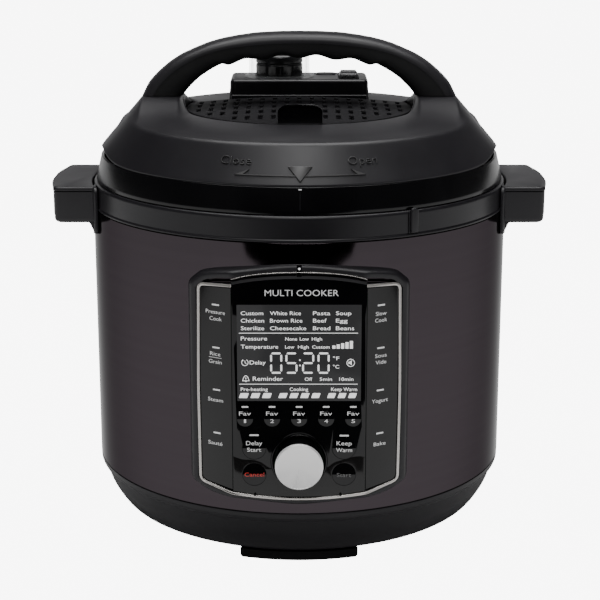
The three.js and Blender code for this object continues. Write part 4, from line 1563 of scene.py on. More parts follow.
@dataclass
class Dial:
    """Ring round the dial, its black body and the spun metal face with a bright bevel."""

    r: float = 14.6
    front: float = low("knob", 1)
    back: float = high("knob", 1)

    @staticmethod
    def facing(profile: Sequence[tuple[float, float]], back: Sequence[float] | float, steps: int,
               closed: bool) -> Surface:
        """A profile of radius and Y, turned about the dial's axis."""
        shape = turned(soft(profile, back, steps, closed=closed), closed=closed, segments=128)
        return shape.mapped(lambda x, y, z: (x, z, y + KNOB_Z))

    def build(self, ring_bench: Bench, knob_bench: Bench) -> None:
        """Makes the ring, the body and the face.

        Args:
            ring_bench: for the ring.
            knob_bench: for the knob.
        """
        face = low("knob_ring", 1)
        ring = self.facing([(15.55, -135), (15.55, face + 1.2), (16.3, face), (17.0, face + 0.1),
                            (17.3, face + 0.9), (17.3, -137.3), (20.6, -137.3), (20.6, -135)],
                           [0.1, 0.3, 0.35, 0.3, 0.3, 0.1, 0.1, 0.1], 5, True)
        ring_bench.piece("dial_ring", ring, GLOSS, ["knob_ring"])
        body = self.facing([(12.4, self.back), (self.r - 0.3, self.back), (self.r - 0.2, self.front + 2.0),
                            (self.r - 0.6, self.front + 1.5), (5.4, self.front + 1.5), (5.4, self.front + 4),
                            (12.4, self.front + 8)], [0.2, 0.5, 0.3, 0.3, 0.2, 0.2, 0.3], 4, True)
        hub = self.facing([(5.4, self.back), (8, self.back), (8, -143), (5.4, -143)], 0.2, 3, True)
        knob_bench.piece("dial_body", body + hub, SMOOTH_BLACK, ["knob"])
        cap = self.facing([(0, self.front + 0.15), (self.r - 1.05, self.front + 0.15),
                           (self.r - 0.95, self.front), (self.r - 0.75, self.front),
                           (self.r, self.front + 0.8), (self.r, self.front + 1.9),
                           (self.r - 1.2, self.front + 1.9), (self.r - 1.2, self.front + 1.3),
                           (0, self.front + 1.3)],
                          [0.1, 0.05, 0.05, 0.05, 0.15, 0.1, 0.1, 0.1, 0.1], 4, False)
        knob_bench.piece("dial_face", cap, SPUN)


# ---- lid

SKIRT_LOW = (130.7, 244.4)  # radius and height of the skirt's lower edge
SKIRT_HIGH = (116.9, 265.8)


def lid_bores(vent_r: float, float_r: float, z0: float, z1: float) -> Surface:
    """Cutters for the steam pipe's and the float's holes between two heights."""
    ends = [(0, z0), (0, z1)]
    return slab(circle(*VENT, vent_r, 32), ends) + slab(circle(*FLOAT, float_r, 24), ends)


@dataclass
class LidCover:
    """Domed cover with a sunken seat for the diffuser and two pedestals that carry the handle's feet."""

    seat_r: float = high("steam_diffuser", 0) + 1.3
    seat_back: float = high("steam_diffuser", 1) + 1.3
    seat_floor: float = 268.6
    crown: float = 273.6
    pedestal: tuple[float, float, float] = (79.0, 102.6, 13.0)  # inner X, outer X, half depth
    pedestal_top: float = low("handle_top", 2) - 0.2
    flare: tuple[float, float] = (4.6, 25.0)  # reach of the blend towards the seat, and to the front and back
    flank: float = 1.16  # fall of the outer side
    ways: int = 480

    def dome(self, r: Array) -> Array:
        """Height of the plain dome, which steepens towards the ridge: crown - a r^2 - b r^9."""
        return self.crown - 1.25 * (r / 76.0) ** 2 - 3.0 * (r / 112.0) ** 9

    def raised(self, x: Array, y: Array, z: Array) -> Array:
        """Height with the pedestals: a flat top that falls straight outwards and by bell curves elsewhere.

        Args:
            x: distance to the right.
            y: distance to the rear.
            z: height without the pedestals.

        Returns:
            The height.
        """
        inner, outer, half = self.pedestal
        inward = np.maximum(inner - np.abs(x), 0) / self.flare[0]
        across = np.maximum(np.abs(y) - half, 0) / self.flare[1]
        slope = self.pedestal_top - self.flank * np.maximum(np.abs(x) - outer, 0)
        return z + np.maximum(slope - z, 0) * np.exp(-(inward ** 2.0) - across ** 2.0)

    def grid(self) -> Array:
        """Rows from the seat's middle up its wall, over the dome and the ridge and down the skirt.

        Returns:
            The points.
        """
        way = cut_circle_ways(self.seat_r, self.seat_back, self.ways)
        edge = cut_circle(way, self.seat_r, self.seat_back)
        lip_r = edge + 0.9

        def row(r: Array, z: Array | float, lift: bool = False) -> Array:
            """One row of points; lift adds the pedestals.

            Args:
                r: radii.
                z: height.
                lift: adds the pedestals.

            Returns:
                The points.
            """
            x, y = r * np.cos(way), r * np.sin(way)
            height = self.raised(x, y, z + 0 * r) if lift else z + 0 * r
            return np.stack([x, y, height], axis=-1)

        rows = [row(edge * s, self.seat_floor) for s in (0.0, 0.5, 0.985)]
        rows.append(row(edge, self.seat_floor + 0.5))
        top = self.dome(lip_r)
        rim = self.raised(lip_r * np.cos(way), lip_r * np.sin(way), top)
        for s in (0.35, 0.8):
            rows.append(row(edge + 0.05, self.seat_floor + (rim - 0.9 - self.seat_floor) * s))
        for t in np.linspace(0.3, np.pi / 2, 4):
            rows.append(row(edge + 0.9 * (1 - math.cos(t)), rim - 0.9 * (1 - math.sin(t))))
        for s in np.linspace(0.02, 1, 44):
            r = lip_r + (112.0 - lip_r) * s
            rows.append(row(r, self.dome(r), True))
        ridge = soft([(112.0, float(self.dome(np.array(112.0)))), (116.2, 267.0), SKIRT_LOW, (130.1, 243.2),
                      (128.6, 243.2)],
                     [0.1, 2.9, 0.7, 0.3, 0.1], 8, False)
        skirt = np.vstack([ridge[1:9], ridge[8] + np.linspace(0, 1, 14)[1:-1, None] * (ridge[9] - ridge[8]),
                           ridge[9:]])
        for r, z in skirt:
            rows.append(row(np.full(len(way), r), float(z), r > 100))
        for r, z in ((128.0, 244.4), (114.6, 263.4), (100.0, 266.4), (0.0, 267.4)):
            rows.append(row(np.full(len(way), r), z))
        return np.stack(rows)

    def build(self, bench: Bench) -> None:
        """Makes the cover, the plain band below it and the index mark on the band.

        Args:
            bench: for the pieces.
        """
        shell = carved(lofted(self.grid()), lid_bores(4.4, 3.1, 255, 285), "FAST")
        bench.piece("lid_shell", shell, MOULDED, ["lid_cover"], crease=38)
        rim = low("lid_cover", 2)
        band_profile = soft([(129.0, 243.5), (130.9, 243.45), (134.3, 229.4), (134.3, rim), (132.4, rim),
                             (129.0, 241.5)],
                            [0.3, 0.3, 0.8, 0.4, 0.3, 0.3], 5)
        bench.piece("lid_band", turned(band_profile, closed=True), SMOOTH_BLACK)
        self.build_marks(bench)

    @staticmethod
    def on_skirt(surface: Surface, lift: float = 0.0) -> Surface:
        """Lays a drawing on the skirt: X goes round it, Y up its slope from a height of 250, Z outwards.

        Args:
            surface: the drawing.
            lift: added height off the skirt.

        Returns:
            The surface.
        """
        run, rise = SKIRT_HIGH[0] - SKIRT_LOW[0], SKIRT_HIGH[1] - SKIRT_LOW[1]
        length = math.hypot(run, rise)
        s, c = run / length, rise / length

        def lay(x: Array, y: Array, h: Array) -> tuple[Array, Array, Array]:
            """Radius and height follow the slope, then the angle is X over the radius.

            Args:
                x: round the skirt.
                y: up it.
                h: off it.

            Returns:
                X, Y and Z.
            """
            along = y + (250.0 - SKIRT_LOW[1]) / c
            r = SKIRT_LOW[0] + s * along + c * (h + lift)
            z = SKIRT_LOW[1] + c * along - s * (h + lift)
            return r * np.sin(x / 124.0), -r * np.cos(x / 124.0), z

        return surface.mapped(lay)

    def build_marks(self, bench: Bench) -> None:
        """Makes the triangle, the double arrow and the two words on the skirt, and the tick on the band.

        Args:
            bench: for the pieces.
        """
        # the triangle, arrows and words take the pointer finish, whose lighter tone is painted highlight on
        # marks of the skirt's own black
        triangle = soft([(0.6, -4.9), (8.1, 5.4), (-6.9, 5.4)], 0.9, 5)
        plate = slab(triangle, rolled_edge(-0.4, 1.1, 0.05, 0.4, 4))
        bench.piece("lid_pointer", self.on_skirt(plate), POINTER)
        arrows = []
        for side in (-1.0, 1.0):
            t = np.linspace(0, 1, 24)[:, None]
            low_edge = np.array([2.0, -1.1]) + t * np.array([36.6, 0.35])
            high_edge = np.array([33.4, -0.15]) + t * np.array([-31.4, 0.0])
            spear = np.vstack([low_edge, [(34.4, 1.15), (30.0, 3.1), (31.6, 1.4)], high_edge])
            spear = (spear * [side, 1] + [0.6, 0])[::int(side)]
            arrows.append(slab(spear, [(0, -0.4), (0, 0.65), (0.12, 0.8)]))
        bench.piece("lid_arrows", self.on_skirt(joined(arrows)), POINTER)
        words = [lettering(word, 5.5, width, 0.9, -0.04, 0.16).moved(x, 8.7, 0.35) for word, x, width in
                 (("Close", -38.6, 19.4), ("Open", 38.8, 18.4))]
        bench.piece("lid_words", self.on_skirt(joined(words)), POINTER)
        tick = slab(rectangle(-0.4, 241.9, 1.5, 242.45, 0.2, 3), [(0, -0.4), (0, 0.2)])
        line = slab(rectangle(0.42, 230.5, 0.68, 241.0, 0.05, 3), [(0, -0.4), (0, 0.1)])

        def on_band(x: Array, y: Array, h: Array) -> tuple[Array, Array, Array]:
            """The band's radius grows from 130.9 to 134.3 as the height falls from 243.45 to 229.4."""
            r = 130.9 + (243.45 - y) * 0.242 + h
            return r * np.sin(x / r), -r * np.cos(x / r), y

        bench.piece("band_tick", tick.mapped(on_band), PRINT)
        bench.piece("band_line", line.mapped(on_band), SATIN)


@dataclass
class Diffuser:
    """Steam diffuser: a low dome cut straight behind, with rows of slots and a finger tab in front."""

    r: float = high("steam_diffuser", 0)
    back: float = high("steam_diffuser", 1)
    floor: float = low("steam_diffuser", 2)
    rim: float = 272.4
    rise: float = 4.2
    pitch_x: float = 8.2
    pitch_y: float = 16.75
    slot: tuple[float, float] = (2.7, 11.2)
    tab_top: float = high("steam_diffuser", 2)
    tab_x: float = 0.6

    def plate(self) -> Surface:
        """Closed plate: underside, a rolled edge, and the dome rim + rise (1 - (r/R)^2).

        Returns:
            The surface.
        """
        way = cut_circle_ways(self.r, self.back, 240)

        def row(share: float, shrink: float, z: float | None) -> Array:
            """Points at a share of the way to the edge; without a height they lie on the dome.

            Args:
                share: share of the way.
                shrink: how far it moves inwards.
                z: height.

            Returns:
                The points.
            """
            r = cut_circle(way, self.r - shrink, self.back - shrink) * share
            height = self.rim + self.rise * (1 - (r / self.r) ** 2) if z is None else np.full(len(way), z)
            return np.stack([r * np.cos(way), r * np.sin(way), height], axis=-1)

        rows = [row(s, 0.2, None) - [0, 0, 1.5] for s in (0, 0.15, 0.3, 0.46, 0.6, 0.72, 0.82, 0.9, 0.965)]
        rows += [row(0.97, 0.2, self.floor), row(1, 0.2, self.floor), row(1, 0.0, self.floor + 0.4)]
        rows += [row(1, 0.0, self.rim - 0.6), row(1, 0.1, self.rim - 0.25)]
        rows += [row(s, 0.4, None) for s in (1, 0.96, 0.9, 0.82, 0.72, 0.6, 0.46, 0.3, 0.15, 0)]
        return lofted(np.stack(rows))

    def slots(self) -> Surface:
        """Cutters in straight columns, cut short at the rim and left out under the tab, with a rounded mouth.

        Each cutter's heights are measured from the dome, so that the rounding follows the plate.

        Returns:
            The surface.
        """
        half_x, half_y = self.slot[0] / 2, self.slot[1] / 2
        x, y = np.meshgrid(np.arange(-8, 9) * self.pitch_x + 0.2, np.arange(-4, 1) * self.pitch_y + 12.6)
        x, y = x.ravel(), y.ravel()
        front = -np.sqrt(np.maximum((self.r - 3.2) ** 2 - (np.abs(x) + half_x) ** 2, 0))
        start, end = np.maximum(y - half_y, front), np.minimum(y + half_y, self.back - 1.6)
        free = (end - start > 4.0) & ~((np.abs(x - self.tab_x) < 15.4) & (y < -50))
        mouth = [(0, -14), (0, -0.5), (-0.1, -0.24), (-0.32, -0.05), (-0.5, 0.02), (-0.6, 0.6)]
        cuts = joined([slab(rectangle(a - half_x, b, a + half_x, c, 0.6, 3), mouth)
                       for a, b, c in zip(x[free], start[free], end[free])])
        return cuts.mapped(
            lambda x, y, z: (x, y, z + self.rim + self.rise * (1 - np.hypot(x, y) ** 2 / self.r ** 2)))

    def tab(self) -> Surface:
        """Finger tab: an arched tongue, upright in front and sloping away behind.

        Returns:
            The surface.
        """
        foot = self.rim - 1.2
        arch_line = soft([(-13.6, foot), (-13.9, 281.4), (-9.6, self.tab_top), (9.6, self.tab_top),
                          (13.9, 281.4), (13.6, foot)], [0.1, 4.2, 5.0, 5.0, 4.2, 0.1], 8, False)[::-1]
        depths = [(1.0, -self.r + 2.2), (0.9, -self.r + 1.0), (0.0, -self.r + 0.25), (0.0, -self.r + 1.6),
                  (1.0, -self.r + 3.4), (3.4, -self.r + 6.6), (6.6, -self.r + 11.0), (9.6, -self.r + 15.0)]
        rows = []
        for drop, y in depths:
            z = np.maximum(arch_line[:, 1] - drop, foot)
            x = arch_line[:, 0] * (1 - 0.012 * drop) + self.tab_x
            rows.append(np.column_stack([x, np.full(len(z), y), z]))
        return lofted(np.stack(rows), capped=True)

    def build(self, bench: Bench) -> None:
        """Makes the slotted plate and its tab.

        Args:
            bench: for the pieces.
        """
        bench.piece("diffuser_plate", carved(self.plate(), self.slots()), DIFFUSER_BLACK, ["steam_diffuser"],
                    crease=35)
        bench.piece("diffuser_tab", self.tab(), SMOOTH_BLACK, crease=35)


@dataclass
class ValveGroup:
    """Block behind the diffuser with the vent's cap and clear guard, the float valve and the vent slide."""

    x: float = high("valve_block", 0)
    y0: float = low("valve_block", 1)
    y1: float = high("valve_block", 1)
    z0: float = low("valve_block", 2)
    z1: float = high("valve_block", 2)
    well_r: float = 18.4

    def block(self) -> Surface:
        """Block with drafted sides and a rolled upper edge, less its well, slot and slide channel.

        Returns:
            The surface.
        """
        levels = [(-0.8, self.z0 - 1.2), (-0.4, self.z0 + 4)] + [(i, z) for i, z in rolled_edge(
            self.z0 + 8, self.z1, 0.0, 2.6, 6)[5:]]
        mass = slab(rectangle(-self.x, self.y0, self.x, self.y1, 4.5, 8), levels)
        bow = 1.4  # how far the front face bows out in its middle
        mass = mass.mapped(
            lambda x, y, z: (x, np.where(y < self.y0 + 6, y - bow * (1 - (x / self.x) ** 2), y), z))
        lip = slab(rectangle(-self.x + 1.0, self.y0 - 2.4, self.x - 1.0, self.y0 + 3, 1.0, 3), rolled_edge(
            self.z0 - 1.0, 277.2, 0.1, 1.0, 5))
        bore = slab(rectangle(13.2, 53.4, 24.0, 60.6, 3.4, 8), [(0, 280.5), (0, 290)])
        pockets = [
            slab(circle(*VENT, self.well_r, 64), [(0, 277), (-0.01, self.z1 - 0.8), (-1.2, self.z1 + 0.4)]),
            lid_bores(4.4, 3.1, 260, 290),
            bore,
            slab(rectangle(26.6, 29.6, 40.8, 63.4, 1.5), [(0, 282.6), (0, 290)]),
        ]
        rim = slab(rectangle(11.6, 51.8, 25.5, 62.2, 5.0, 8),
                   rolled_edge(self.z1 - 0.5, self.z1 + 0.7, 0.1, 0.5, 4))
        return carved(mass, joined(pockets)) + carved(rim, bore) + lip

    def cap(self) -> Surface:
        """Weighted cap with shallow flutes round its side: radius less a cosine of twelve times the angle.

        Returns:
            The surface.
        """
        profile = soft([(0, 297.2), (13.8, 297.2), (13.8, 278.4), (15.9, 278.4), (15.9, 295.6), (15.3, 296.3),
                        (16.0, 297.2), (15.6, 301.6), (12.6, 303.4), (0, 303.8)],
                       [0.1, 0.8, 0.3, 0.5, 0.4, 0.4, 0.4, 1.5, 2.0, 0.1], 5, False)
        angle = np.linspace(0, 2 * np.pi, 144, endpoint=False)[None, :]
        r, z = profile[:, :1], profile[:, 1:]
        fluted = np.where((r > 15.0) & (z < 295.4),
                          0.12 * (1 - np.cos(12 * angle)) * np.clip((295.4 - z) / 2, 0, 1), 0)
        r = r - fluted
        grid = np.stack([VENT[0] + r * np.sin(angle), VENT[1] - r * np.cos(angle), z + 0 * angle], axis=-1)
        return lofted(grid)

    def slide(self) -> Surface:
        """Thumb slide: a rounded block with ribs across its raised top.

        Returns:
            The surface.
        """
        a, b = low("vent_slide_button", 0), high("vent_slide_button", 0)
        front, back = low("vent_slide_button", 1), high("vent_slide_button", 1)
        foot, top = low("vent_slide_button", 2), high("vent_slide_button", 2)
        outline = soft([(a, foot), (b, foot), (b, top - 1), (a, top - 1)], [0.3, 0.3, 2.8, 2.8], 7)
        body = slab(outline, rolled_edge(-back, -front, 1.6, 2.2)).facing_front()
        ribs = [slab(rectangle(a + 1.4, front + 4.2 + 2.6 * n, b - 1.4, front + 5.2 + 2.6 * n, 0.4, 4),
                     rolled_edge(top - 2.0, top - 0.35, 0.1, 0.35, 4)) for n in range(5)]
        teeth = [slab(rectangle(a + 2.0 + 2.1 * n, foot + 1.2, a + 2.9 + 2.1 * n, top - 2.2, 0.3, 4),
                      rolled_edge(-front - 0.8, -front + 0.25, 0.1, 0.25, 4)).facing_front()
                 for n in range(5)]
        return joined([body, *ribs, *teeth])

    @staticmethod
    def turned_at(at: Array, profile: Sequence, back: Sequence[float] | float, closed: bool) -> Surface:
        """A softened profile turned about an upright axis."""
        return turned(soft(profile, back, 4, closed=closed), closed=closed, segments=96).moved(at[0], at[1])

    def build(self, bench: Bench) -> None:
        """Makes the block, guard and pipe on the lid, and the valve, float and slide on their own bodies.

        Args:
            bench: for the pieces.
        """
        bench.piece("valve_housing", self.block(), SATIN, ["valve_block"], crease=35)
        guard = self.turned_at(VENT, [(17, 287.5), (23.6, 287.5), (23.6, 288.5), (20.6, 289.0), (20.4, 306),
                                      (19.2, 306), (19.2, 289.2), (17, 288.7)],
                               [0.3, 0.3, 0.3, 0.8, 0.5, 0.5, 0.6, 0.3], True)
        bench.piece("vent_guard", guard, CLEAR, ["clear_valve_guard"])
        pipe = self.turned_at(VENT, [(2.6, 231), (4, 231), (4, 296.4), (2.6, 296.4)], 0.4, True)
        bench.piece("vent_pipe", pipe, PRESSED_STEEL, ["steam_pipe"])
        Bench("release_valve").piece("vent_cap", self.cap(), CAP_BLACK, ["steam_release_valve"])
        float_pin = self.turned_at(FLOAT, [(0, 226), (5, 226), (5, 229.4), (2.7, 229.4), (2.7, 283),
                                           (0, 283)],
                                   [0.1, 0.8, 0.8, 0.2, 0.7, 0.1], False)
        Bench("float").piece("float_pin", float_pin, PRESSED_STEEL, ["float_valve"])
        Bench("vent_button").piece("vent_slide", self.slide(), SLIDE_GREY, ["vent_slide_button"])


@dataclass
class LidHandle:
    """Arched handle: a rounded upper shell and a grip with finger waves, joined along a seam."""

    half_depth: float = high("handle_top", 1)
    foot: float = low("handle_top", 2)
    crest: tuple = ((0, 322.2), (13, 322.1), (28, 321.3), (40, 319.6), (50, 317.7), (60, 314.9), (68, 311.6),
                    (77, 307.6), (85.5, 302.2), (93, 295.8), (99, 289.4), (103.2, 281.0))
    seam: tuple = ((0, 315.4), (14, 315.2), (28, 314.2), (40, 312.9), (50, 311.2), (59, 308.8), (67, 305.9),
                   (74, 302.2), (81, 297.6), (87, 292.4), (92, 286.8), (95.5, 281.0))
    stations: int = 261

    def whole(self, path: Array) -> Array:
        """Stations along both halves, from left to right, of a path from the middle to the right foot."""
        half = evenly(path, self.stations // 2 + 1)
        return np.vstack([half[:0:-1] * [-1, 1], half])

    def underside(self) -> Array:
        """Half the grip's underside: finger waves 306.2 - 0.0021 x^2 - 1.15 cos(2 pi x / 23), then a leg.

        Returns:
            The points.
        """
        x = np.linspace(0, 46, 60)
        waves = np.column_stack([x, 306.2 - 0.0021 * x ** 2 - 1.15 * np.cos(2 * np.pi * x / 23)])
        leg = soft([(46, 302.9), (52, 300.9), (58, 297.6), (65, 293.0), (70.6, 287.8), (74.0, 284.0),
                    (76.2, self.foot)],
                   2.4, 5, closed=False)
        return np.vstack([waves, leg[1:]])

    @staticmethod
    def shell(inner: Array, outer: Array, depth: Array, roundness: float, count: int = 28) -> Surface:
        """Solid between two curves whose sections are y = d |sin t|^(2/n), rise = |cos t|^(2/n).

        Args:
            inner: curve the sections stand on.
            outer: curve their tops reach.
            depth: d at each station.
            roundness: n.
            count: points across a section.

        Returns:
            The closed surface.
        """
        t = np.linspace(-np.pi / 2, np.pi / 2, count)
        y = np.sign(np.sin(t)) * np.abs(np.sin(t)) ** (2 / roundness)
        rise = np.abs(np.cos(t)) ** (2 / roundness)
        rise[0] = rise[-1] = 0.0
        reach = outer - inner
        x = inner[:, None, 0] + reach[:, None, 0] * rise
        z = inner[:, None, 1] + reach[:, None, 1] * rise
        return lofted(np.stack([x, depth[:, None] * y[None, :], z], axis=-1), capped=True)

    def build(self, bench: Bench) -> None:
        """Makes the shell, and the grip whose upper face reaches a little way into it.

        Args:
            bench: for the pieces.
        """
        crest, seam = (self.whole(soft(line, 3.0, 5, closed=False)) for line in (self.crest, self.seam))
        under = self.whole(self.underside())
        widen = self.half_depth * (0.93 + 0.07 * (np.abs(seam[:, 0]) / 95.5) ** 2)
        bench.piece("handle_shell", self.shell(seam, crest, widen, 2.7), MOULDED, ["handle_top"], crease=50)
        lowered = seam + 0.08 * (crest - seam)
        bench.piece("handle_under", self.shell(lowered, under, widen - 0.45, 4.2, 36), HANDLE_BLACK,
                    ["handle_grip"], crease=50)


@dataclass
class LidUnderside:
    """Steel plate with its lugs, the sealing ring, its wire rack and the perforated shield."""

    plate_r: float = 118.6
    top: float = high("lid_plate", 2)
    bottom: float = low("lid_plate", 2)
    lugs: int = 6

    def build(self, bench: Bench, ring_bench: Bench) -> None:
        """Makes the pieces under the lid.

        Args:
            bench: for the pieces.
            ring_bench: for the ring.
        """
        pan = turned(soft([(0, 233), (96, 233), (100, 232.0), (117.4, 232.4), (117.4, self.bottom),
                           (self.plate_r, self.bottom), (self.plate_r, self.top), (0, self.top)],
                          [0.1, 2, 2, 2, 0.3, 0.3, 2, 0.1], 6, False))
        ears = joined([slab(ring_sector(117.9, 123.8, (n + 0.5) * 360 / self.lugs, 12.5, 1.6), rolled_edge(
            self.bottom, 224.3, 0.4, 0.6)) for n in range(self.lugs)])
        bench.piece("lid_pan", carved(pan, lid_bores(4.3, 3.05, 225, 240)) + ears, PRESSED_STEEL,
                    ["lid_plate"])
        seal = turned(soft([(108, 220.7), (116, 220.7), (116, 223.4), (113.4, 224.8), (113.4, 228.4),
                            (116, 230.2), (116, 232.2), (110.0, 232.2)],
                           [1.4, 1.4, 1.2, 1.2, 1.2, 1.2, 0.9, 1.0], 6), closed=True)
        ring_bench.piece("seal", seal, SILICONE, ["sealing_ring"])
        wire = turned(circle(105.2, 226.2, 0.95, 16), closed=True)
        upper = turned(circle(105.2, 231.6, 0.85, 16), closed=True)
        posts = joined([turned(soft([(0, 226.2), (0.8, 226.2), (0.8, 231.8), (0, 231.8)], 0.2, 3, False),
                               segments=12).moved(105.2)
                        .turned_z(n * 30 + 15) for n in range(12)])
        bench.piece("seal_rack", wire + upper + posts, STEEL, ["gasket_rack"])
        basket = turned(soft([(0, 223), (8.4, 223), (12, 226.4), (12, 231.8), (11, 231.8), (11, 226.8),
                              (8, 224), (0, 224)],
                             [0.1, 0.8, 0.8, 0.3, 0.3, 0.8, 0.8, 0.1], 5, False), segments=72)
        slots = joined([slab(rectangle(-0.9, 10, 0.9, 13, 0.3, 3), [(0, 227.6), (0, 230.6)]).turned_z(n * 30)
                        for n in range(12)])
        cup = carved(basket, slots).moved(VENT[0], VENT[1])
        bench.piece("pipe_shield", cup, PRESSED_STEEL, ["anti_block_shield"])


# ---- rear


@dataclass
class Rear:
    """Mains inlet with its three pins, and the condensation cup in its holder."""

    inlet_front: float = high("inlet_socket", 1)
    inlet_back: float = low("inlet_socket", 1)
    cup_back: float = high("condensation_collector", 1)

    def build(self, bench: Bench, cup_bench: Bench) -> None:
        """Makes the inlet, the pins, the holder and the cup.

        Args:
            bench: for the pieces.
            cup_bench: for the cup.
        """
        x, z0, z1 = high("inlet_socket", 0), low("inlet_socket", 2), high("inlet_socket", 2)
        flange = slab(rectangle(-x, z0, x, z1, 3, 6),
                      rolled_edge(self.inlet_front - 2.4, self.inlet_front, 0.2, 0.9))
        trunk = slab(rectangle(-15.6, 48.2, 15.6, 73.8, 2, 6),
                     [(0, self.inlet_back), (0, self.inlet_front - 2)])
        mouth_line = soft([(-12.2, 52.4), (12.2, 52.4), (12.2, 65.6), (8.4, 69.6), (-8.4, 69.6),
                           (-12.2, 65.6)], 1.2, 5)
        mouth = slab(mouth_line, [(0, 121), (0, self.inlet_front - 0.6), (-0.8, self.inlet_front + 0.2)])
        shape = carved(trunk, mouth) + carved(flange, mouth)
        bench.piece("inlet", shape.mapped(lambda a, b, c: (a, c, b)), SMOOTH_BLACK, ["inlet_socket"])
        for node in ("inlet_pin_live", "inlet_pin_neutral", "inlet_pin_earth"):
            a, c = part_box(node)
            pin = slab(rectangle(a[0] / MM, a[2] / MM, c[0] / MM, c[2] / MM, 0.5, 4),
                       rolled_edge(-c[1] / MM, -a[1] / MM, 0.7, 0.1)).facing_front()
            bench.piece(node + "_blade", pin, BRASS, [node])
        self.build_holder(bench)
        self.build_cup(cup_bench)

    @staticmethod
    def build_holder(bench: Bench) -> None:
        """Makes the curved holder on the wall, with a lip along its top.

        Args:
            bench: for the pieces.
        """
        half = math.radians(9.0) * WALL_R
        plate = slab(rectangle(-half, 168, half, 205, 2.5, 6), rolled_edge(0, 2.8, 0.1, 1.0))
        bent = plate.mapped(lambda x, y, z: ((WALL_R + z) * np.sin(-x / WALL_R),
                                             (WALL_R + z) * np.cos(x / WALL_R), y))
        bench.piece("cup_holder", bent, SATIN, ["collector_holder"])

    def build_cup(self, bench: Bench) -> None:
        """Makes the clear cup: loops that follow the wall's arc in front and are flat behind.

        Args:
            bench: for the pieces.
        """
        def loop(inward: float, z: float) -> Array:
            """One level loop, moved inwards from the cup's outside.

            Args:
                inward: how far it moves.
                z: height.

            Returns:
                The points.
            """
            x_edge = 28.0 - inward
            front_r, back_y = 140.6 + inward, self.cup_back - inward
            x = np.linspace(-x_edge, x_edge, 24)
            front = np.column_stack([x, np.sqrt(front_r ** 2 - x ** 2)])
            side = soft([(x_edge, front[-1, 1] + 1), (x_edge, back_y), (-x_edge, back_y),
                         (-x_edge, front[0, 1] + 1)],
                        [0.1, 2.6 if inward < 1 else 1.6, 2.6 if inward < 1 else 1.6, 0.1], 7, False)
            return level(np.vstack([front, side]), z)

        rows = [loop(inward, z) for inward, z in (
            (1.6, 146.0), (0.6, 146.3), (0.0, 147.2), (0.0, 202.2), (0.3, 203.0), (1.3, 203.0), (1.5, 202.6),
            (1.5, 149.0), (2.2, 148.1))]
        bench.piece("condensation_cup", lofted(np.stack(rows), capped=True), CLEAR,
                    ["condensation_collector"])


# ---- studio


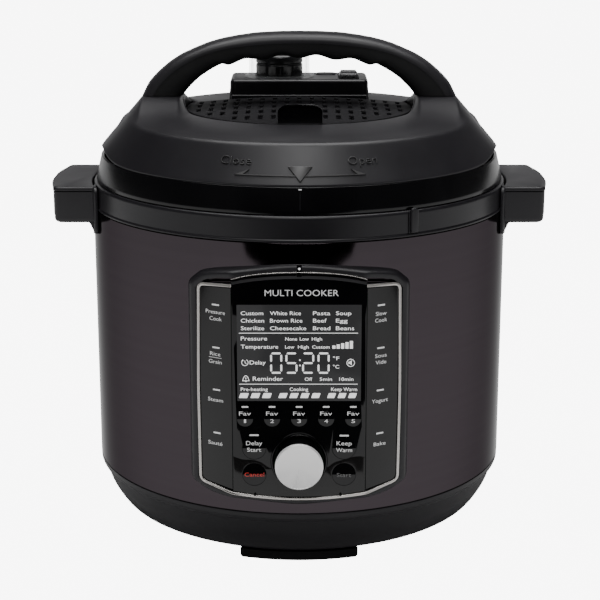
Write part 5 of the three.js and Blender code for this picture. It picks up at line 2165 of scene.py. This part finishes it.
@dataclass
class Studio:
    """Pale floor, soft lights, two cards that only reflections and soft light meet, and the camera."""

    eye: tuple[float, float, float] = (0.0, -1.0793, 0.4274)
    pitch: float = 75.09  # degrees, 90 is level
    lens: float = 98.12
    shift: float = 0.00145
    floor_glow: float = 0.72  # as everything but the camera meets it
    floor_seen: float = 8.0  # as the camera meets it
    front_card_y: float = -0.356

    def floor(self) -> None:
        """Large pale floor that glows for the camera and lights the cooker from below more gently."""
        finish = bpy.data.materials.new("studio_floor")
        finish.use_nodes = True
        shader = finish.node_tree.nodes["Principled BSDF"]
        shader.inputs["Base Color"].default_value = (0.14, 0.14, 0.14, 1)
        shader.inputs["Roughness"].default_value = 0.9
        shader.inputs["Specular IOR Level"].default_value = 0.1
        shader.inputs["Emission Color"].default_value = (1, 1, 1, 1)
        seen = add_node(finish.node_tree, "LightPath").outputs["Is Camera Ray"]
        glow = add_node(finish.node_tree, "MapRange", {"Value": seen}, in_3=self.floor_glow,
                        in_4=self.floor_seen)
        finish.node_tree.links.new(glow.outputs[0], shader.inputs["Emission Strength"])
        self.sheet("floor", [(-30, -30, 0), (30, -30, 0), (30, 30, 0), (-30, 30, 0)], finish)

    @staticmethod
    def sheet(name: str, points: Sequence[tuple[float, float, float]],
              finish: bpy.types.Material) -> bpy.types.Object:
        """A flat stage piece with one face.

        Args:
            name: the piece's name.
            points: the face's corners in metres.
            finish: its material.

        Returns:
            The object.
        """
        mesh = bpy.data.meshes.new(name)
        mesh.from_pydata(points, [], [tuple(range(len(points)))])
        mesh.materials.append(finish)
        sheet = placed(name, mesh)
        return sheet

    def card(self, name: str, points: Sequence[tuple[float, float, float]], tone: float = 0.003) -> None:
        """A card that reflections and soft light meet and the camera doesn't.

        Args:
            name: the card's name.
            points: its corners in metres.
            tone: how light it is.
        """
        finish = bpy.data.materials.new(name)
        finish.use_nodes = True
        finish.node_tree.nodes["Principled BSDF"].inputs["Base Color"].default_value = (tone, tone, tone, 1)
        finish.node_tree.nodes["Principled BSDF"].inputs["Specular IOR Level"].default_value = 0.0
        card = self.sheet(name, points, finish)
        card.visible_camera = card.visible_shadow = card.visible_transmission = False

    def cards(self) -> None:
        """One upright card in front, wider towards its top, and one under the base."""
        right = [(0.088, 0.001), (0.088, 0.148), (0.15, 0.17), (0.17, 0.2), (0.2, 0.45)]
        corners = right + [(-x, z) for x, z in right[::-1]]
        self.card("front_card", [(x, self.front_card_y, z) for x, z in corners])
        ring = circle(0, 0, 0.172, 64)
        self.card("under_card", [(float(x), float(y), 0.0004) for x, y in ring], 0.62)

    @staticmethod
    def light(name: str, at: tuple, target: tuple, size: tuple[float, float], power: float) -> None:
        """One soft rectangular light aimed at a point.

        Args:
            name: the light's name.
            at: its place in metres.
            target: what it faces.
            size: width and height.
            power: in watts.
        """
        lamp = bpy.data.lights.new(name, "AREA")
        lamp.shape, lamp.size, lamp.size_y, lamp.energy = "RECTANGLE", *size, power
        thing = placed(name, lamp)
        thing.location = at
        thing.rotation_euler = (Vector(target) - Vector(at)).to_track_quat("-Z", "Y").to_euler()

    def world(self) -> None:
        """White to the camera and dim to everything else, so the dark plastic keeps its depth."""
        world = bpy.data.worlds.new("studio")
        bpy.context.scene.world = world
        world.use_nodes = True
        tree = world.node_tree
        seen = add_node(tree, "LightPath").outputs["Is Camera Ray"]
        back = tree.nodes["Background"]
        strength = add_node(tree, "MapRange", {"Value": seen}, in_3=0.03, in_4=1.0)
        tree.links.new(strength.outputs[0], back.inputs["Strength"])
        back.inputs["Color"].default_value = (1, 1, 1, 1)

    def build(self) -> None:
        """Sets the stage and the camera."""
        self.floor()
        self.cards()
        self.world()
        self.light("overhead", (0, 0.1, 1.5), (0, 0, 0.2), (1.3, 0.9), 19)
        self.light("front_high", (0, -1.1, 1.55), (0, 0, 0.22), (0.7, 0.5), 9)
        self.light("back_sweep", (0, 2.4, 0.55), (0, 0, 0.25), (3.4, 0.8), 6)
        camera = bpy.data.cameras.new("camera")
        camera.sensor_width, camera.lens, camera.shift_x = 36.0, self.lens, self.shift
        camera.clip_end = 100.0
        thing = placed("camera", camera)
        thing.location = self.eye
        thing.rotation_euler = (math.radians(self.pitch), 0, 0)
        bpy.context.scene.camera = thing


def dress_inner_nodes() -> None:
    """Finishes for the CAD nodes that keep their own shape."""
    for node in ("power_board", "control_board"):
        dress(node, BOARD)
    dress("display_module", SATIN)
    dress("knob_encoder", PRESSED_STEEL)
    dress("knob_rotor", BRASS)


def main() -> None:
    """Builds every sub-assembly round the frame."""
    logging.basicConfig(level=logging.INFO, format="%(message)s")
    Studio().build()
    base, lid = Bench("base"), Bench("lid")
    Underside().build(base)
    Shell().build(base)
    Heater().build(base, Bench("sensor"))
    Pot().build(Bench("pot"))
    SideHandle("left").build(base)
    SideHandle("right").build(base)
    ControlPanel().build(base)
    for key in KEYS:
        key.build()
    Display().build(base)
    PanelPrint().build(base)
    Dial().build(base, Bench("knob"))
    Rear().build(base, Bench("collector"))
    LidCover().build(lid)
    Diffuser().build(Bench("diffuser"))
    ValveGroup().build(lid)
    LidHandle().build(lid)
    LidUnderside().build(lid, Bench("gasket"))
    dress_inner_nodes()


if __name__ == "__main__":
    main()
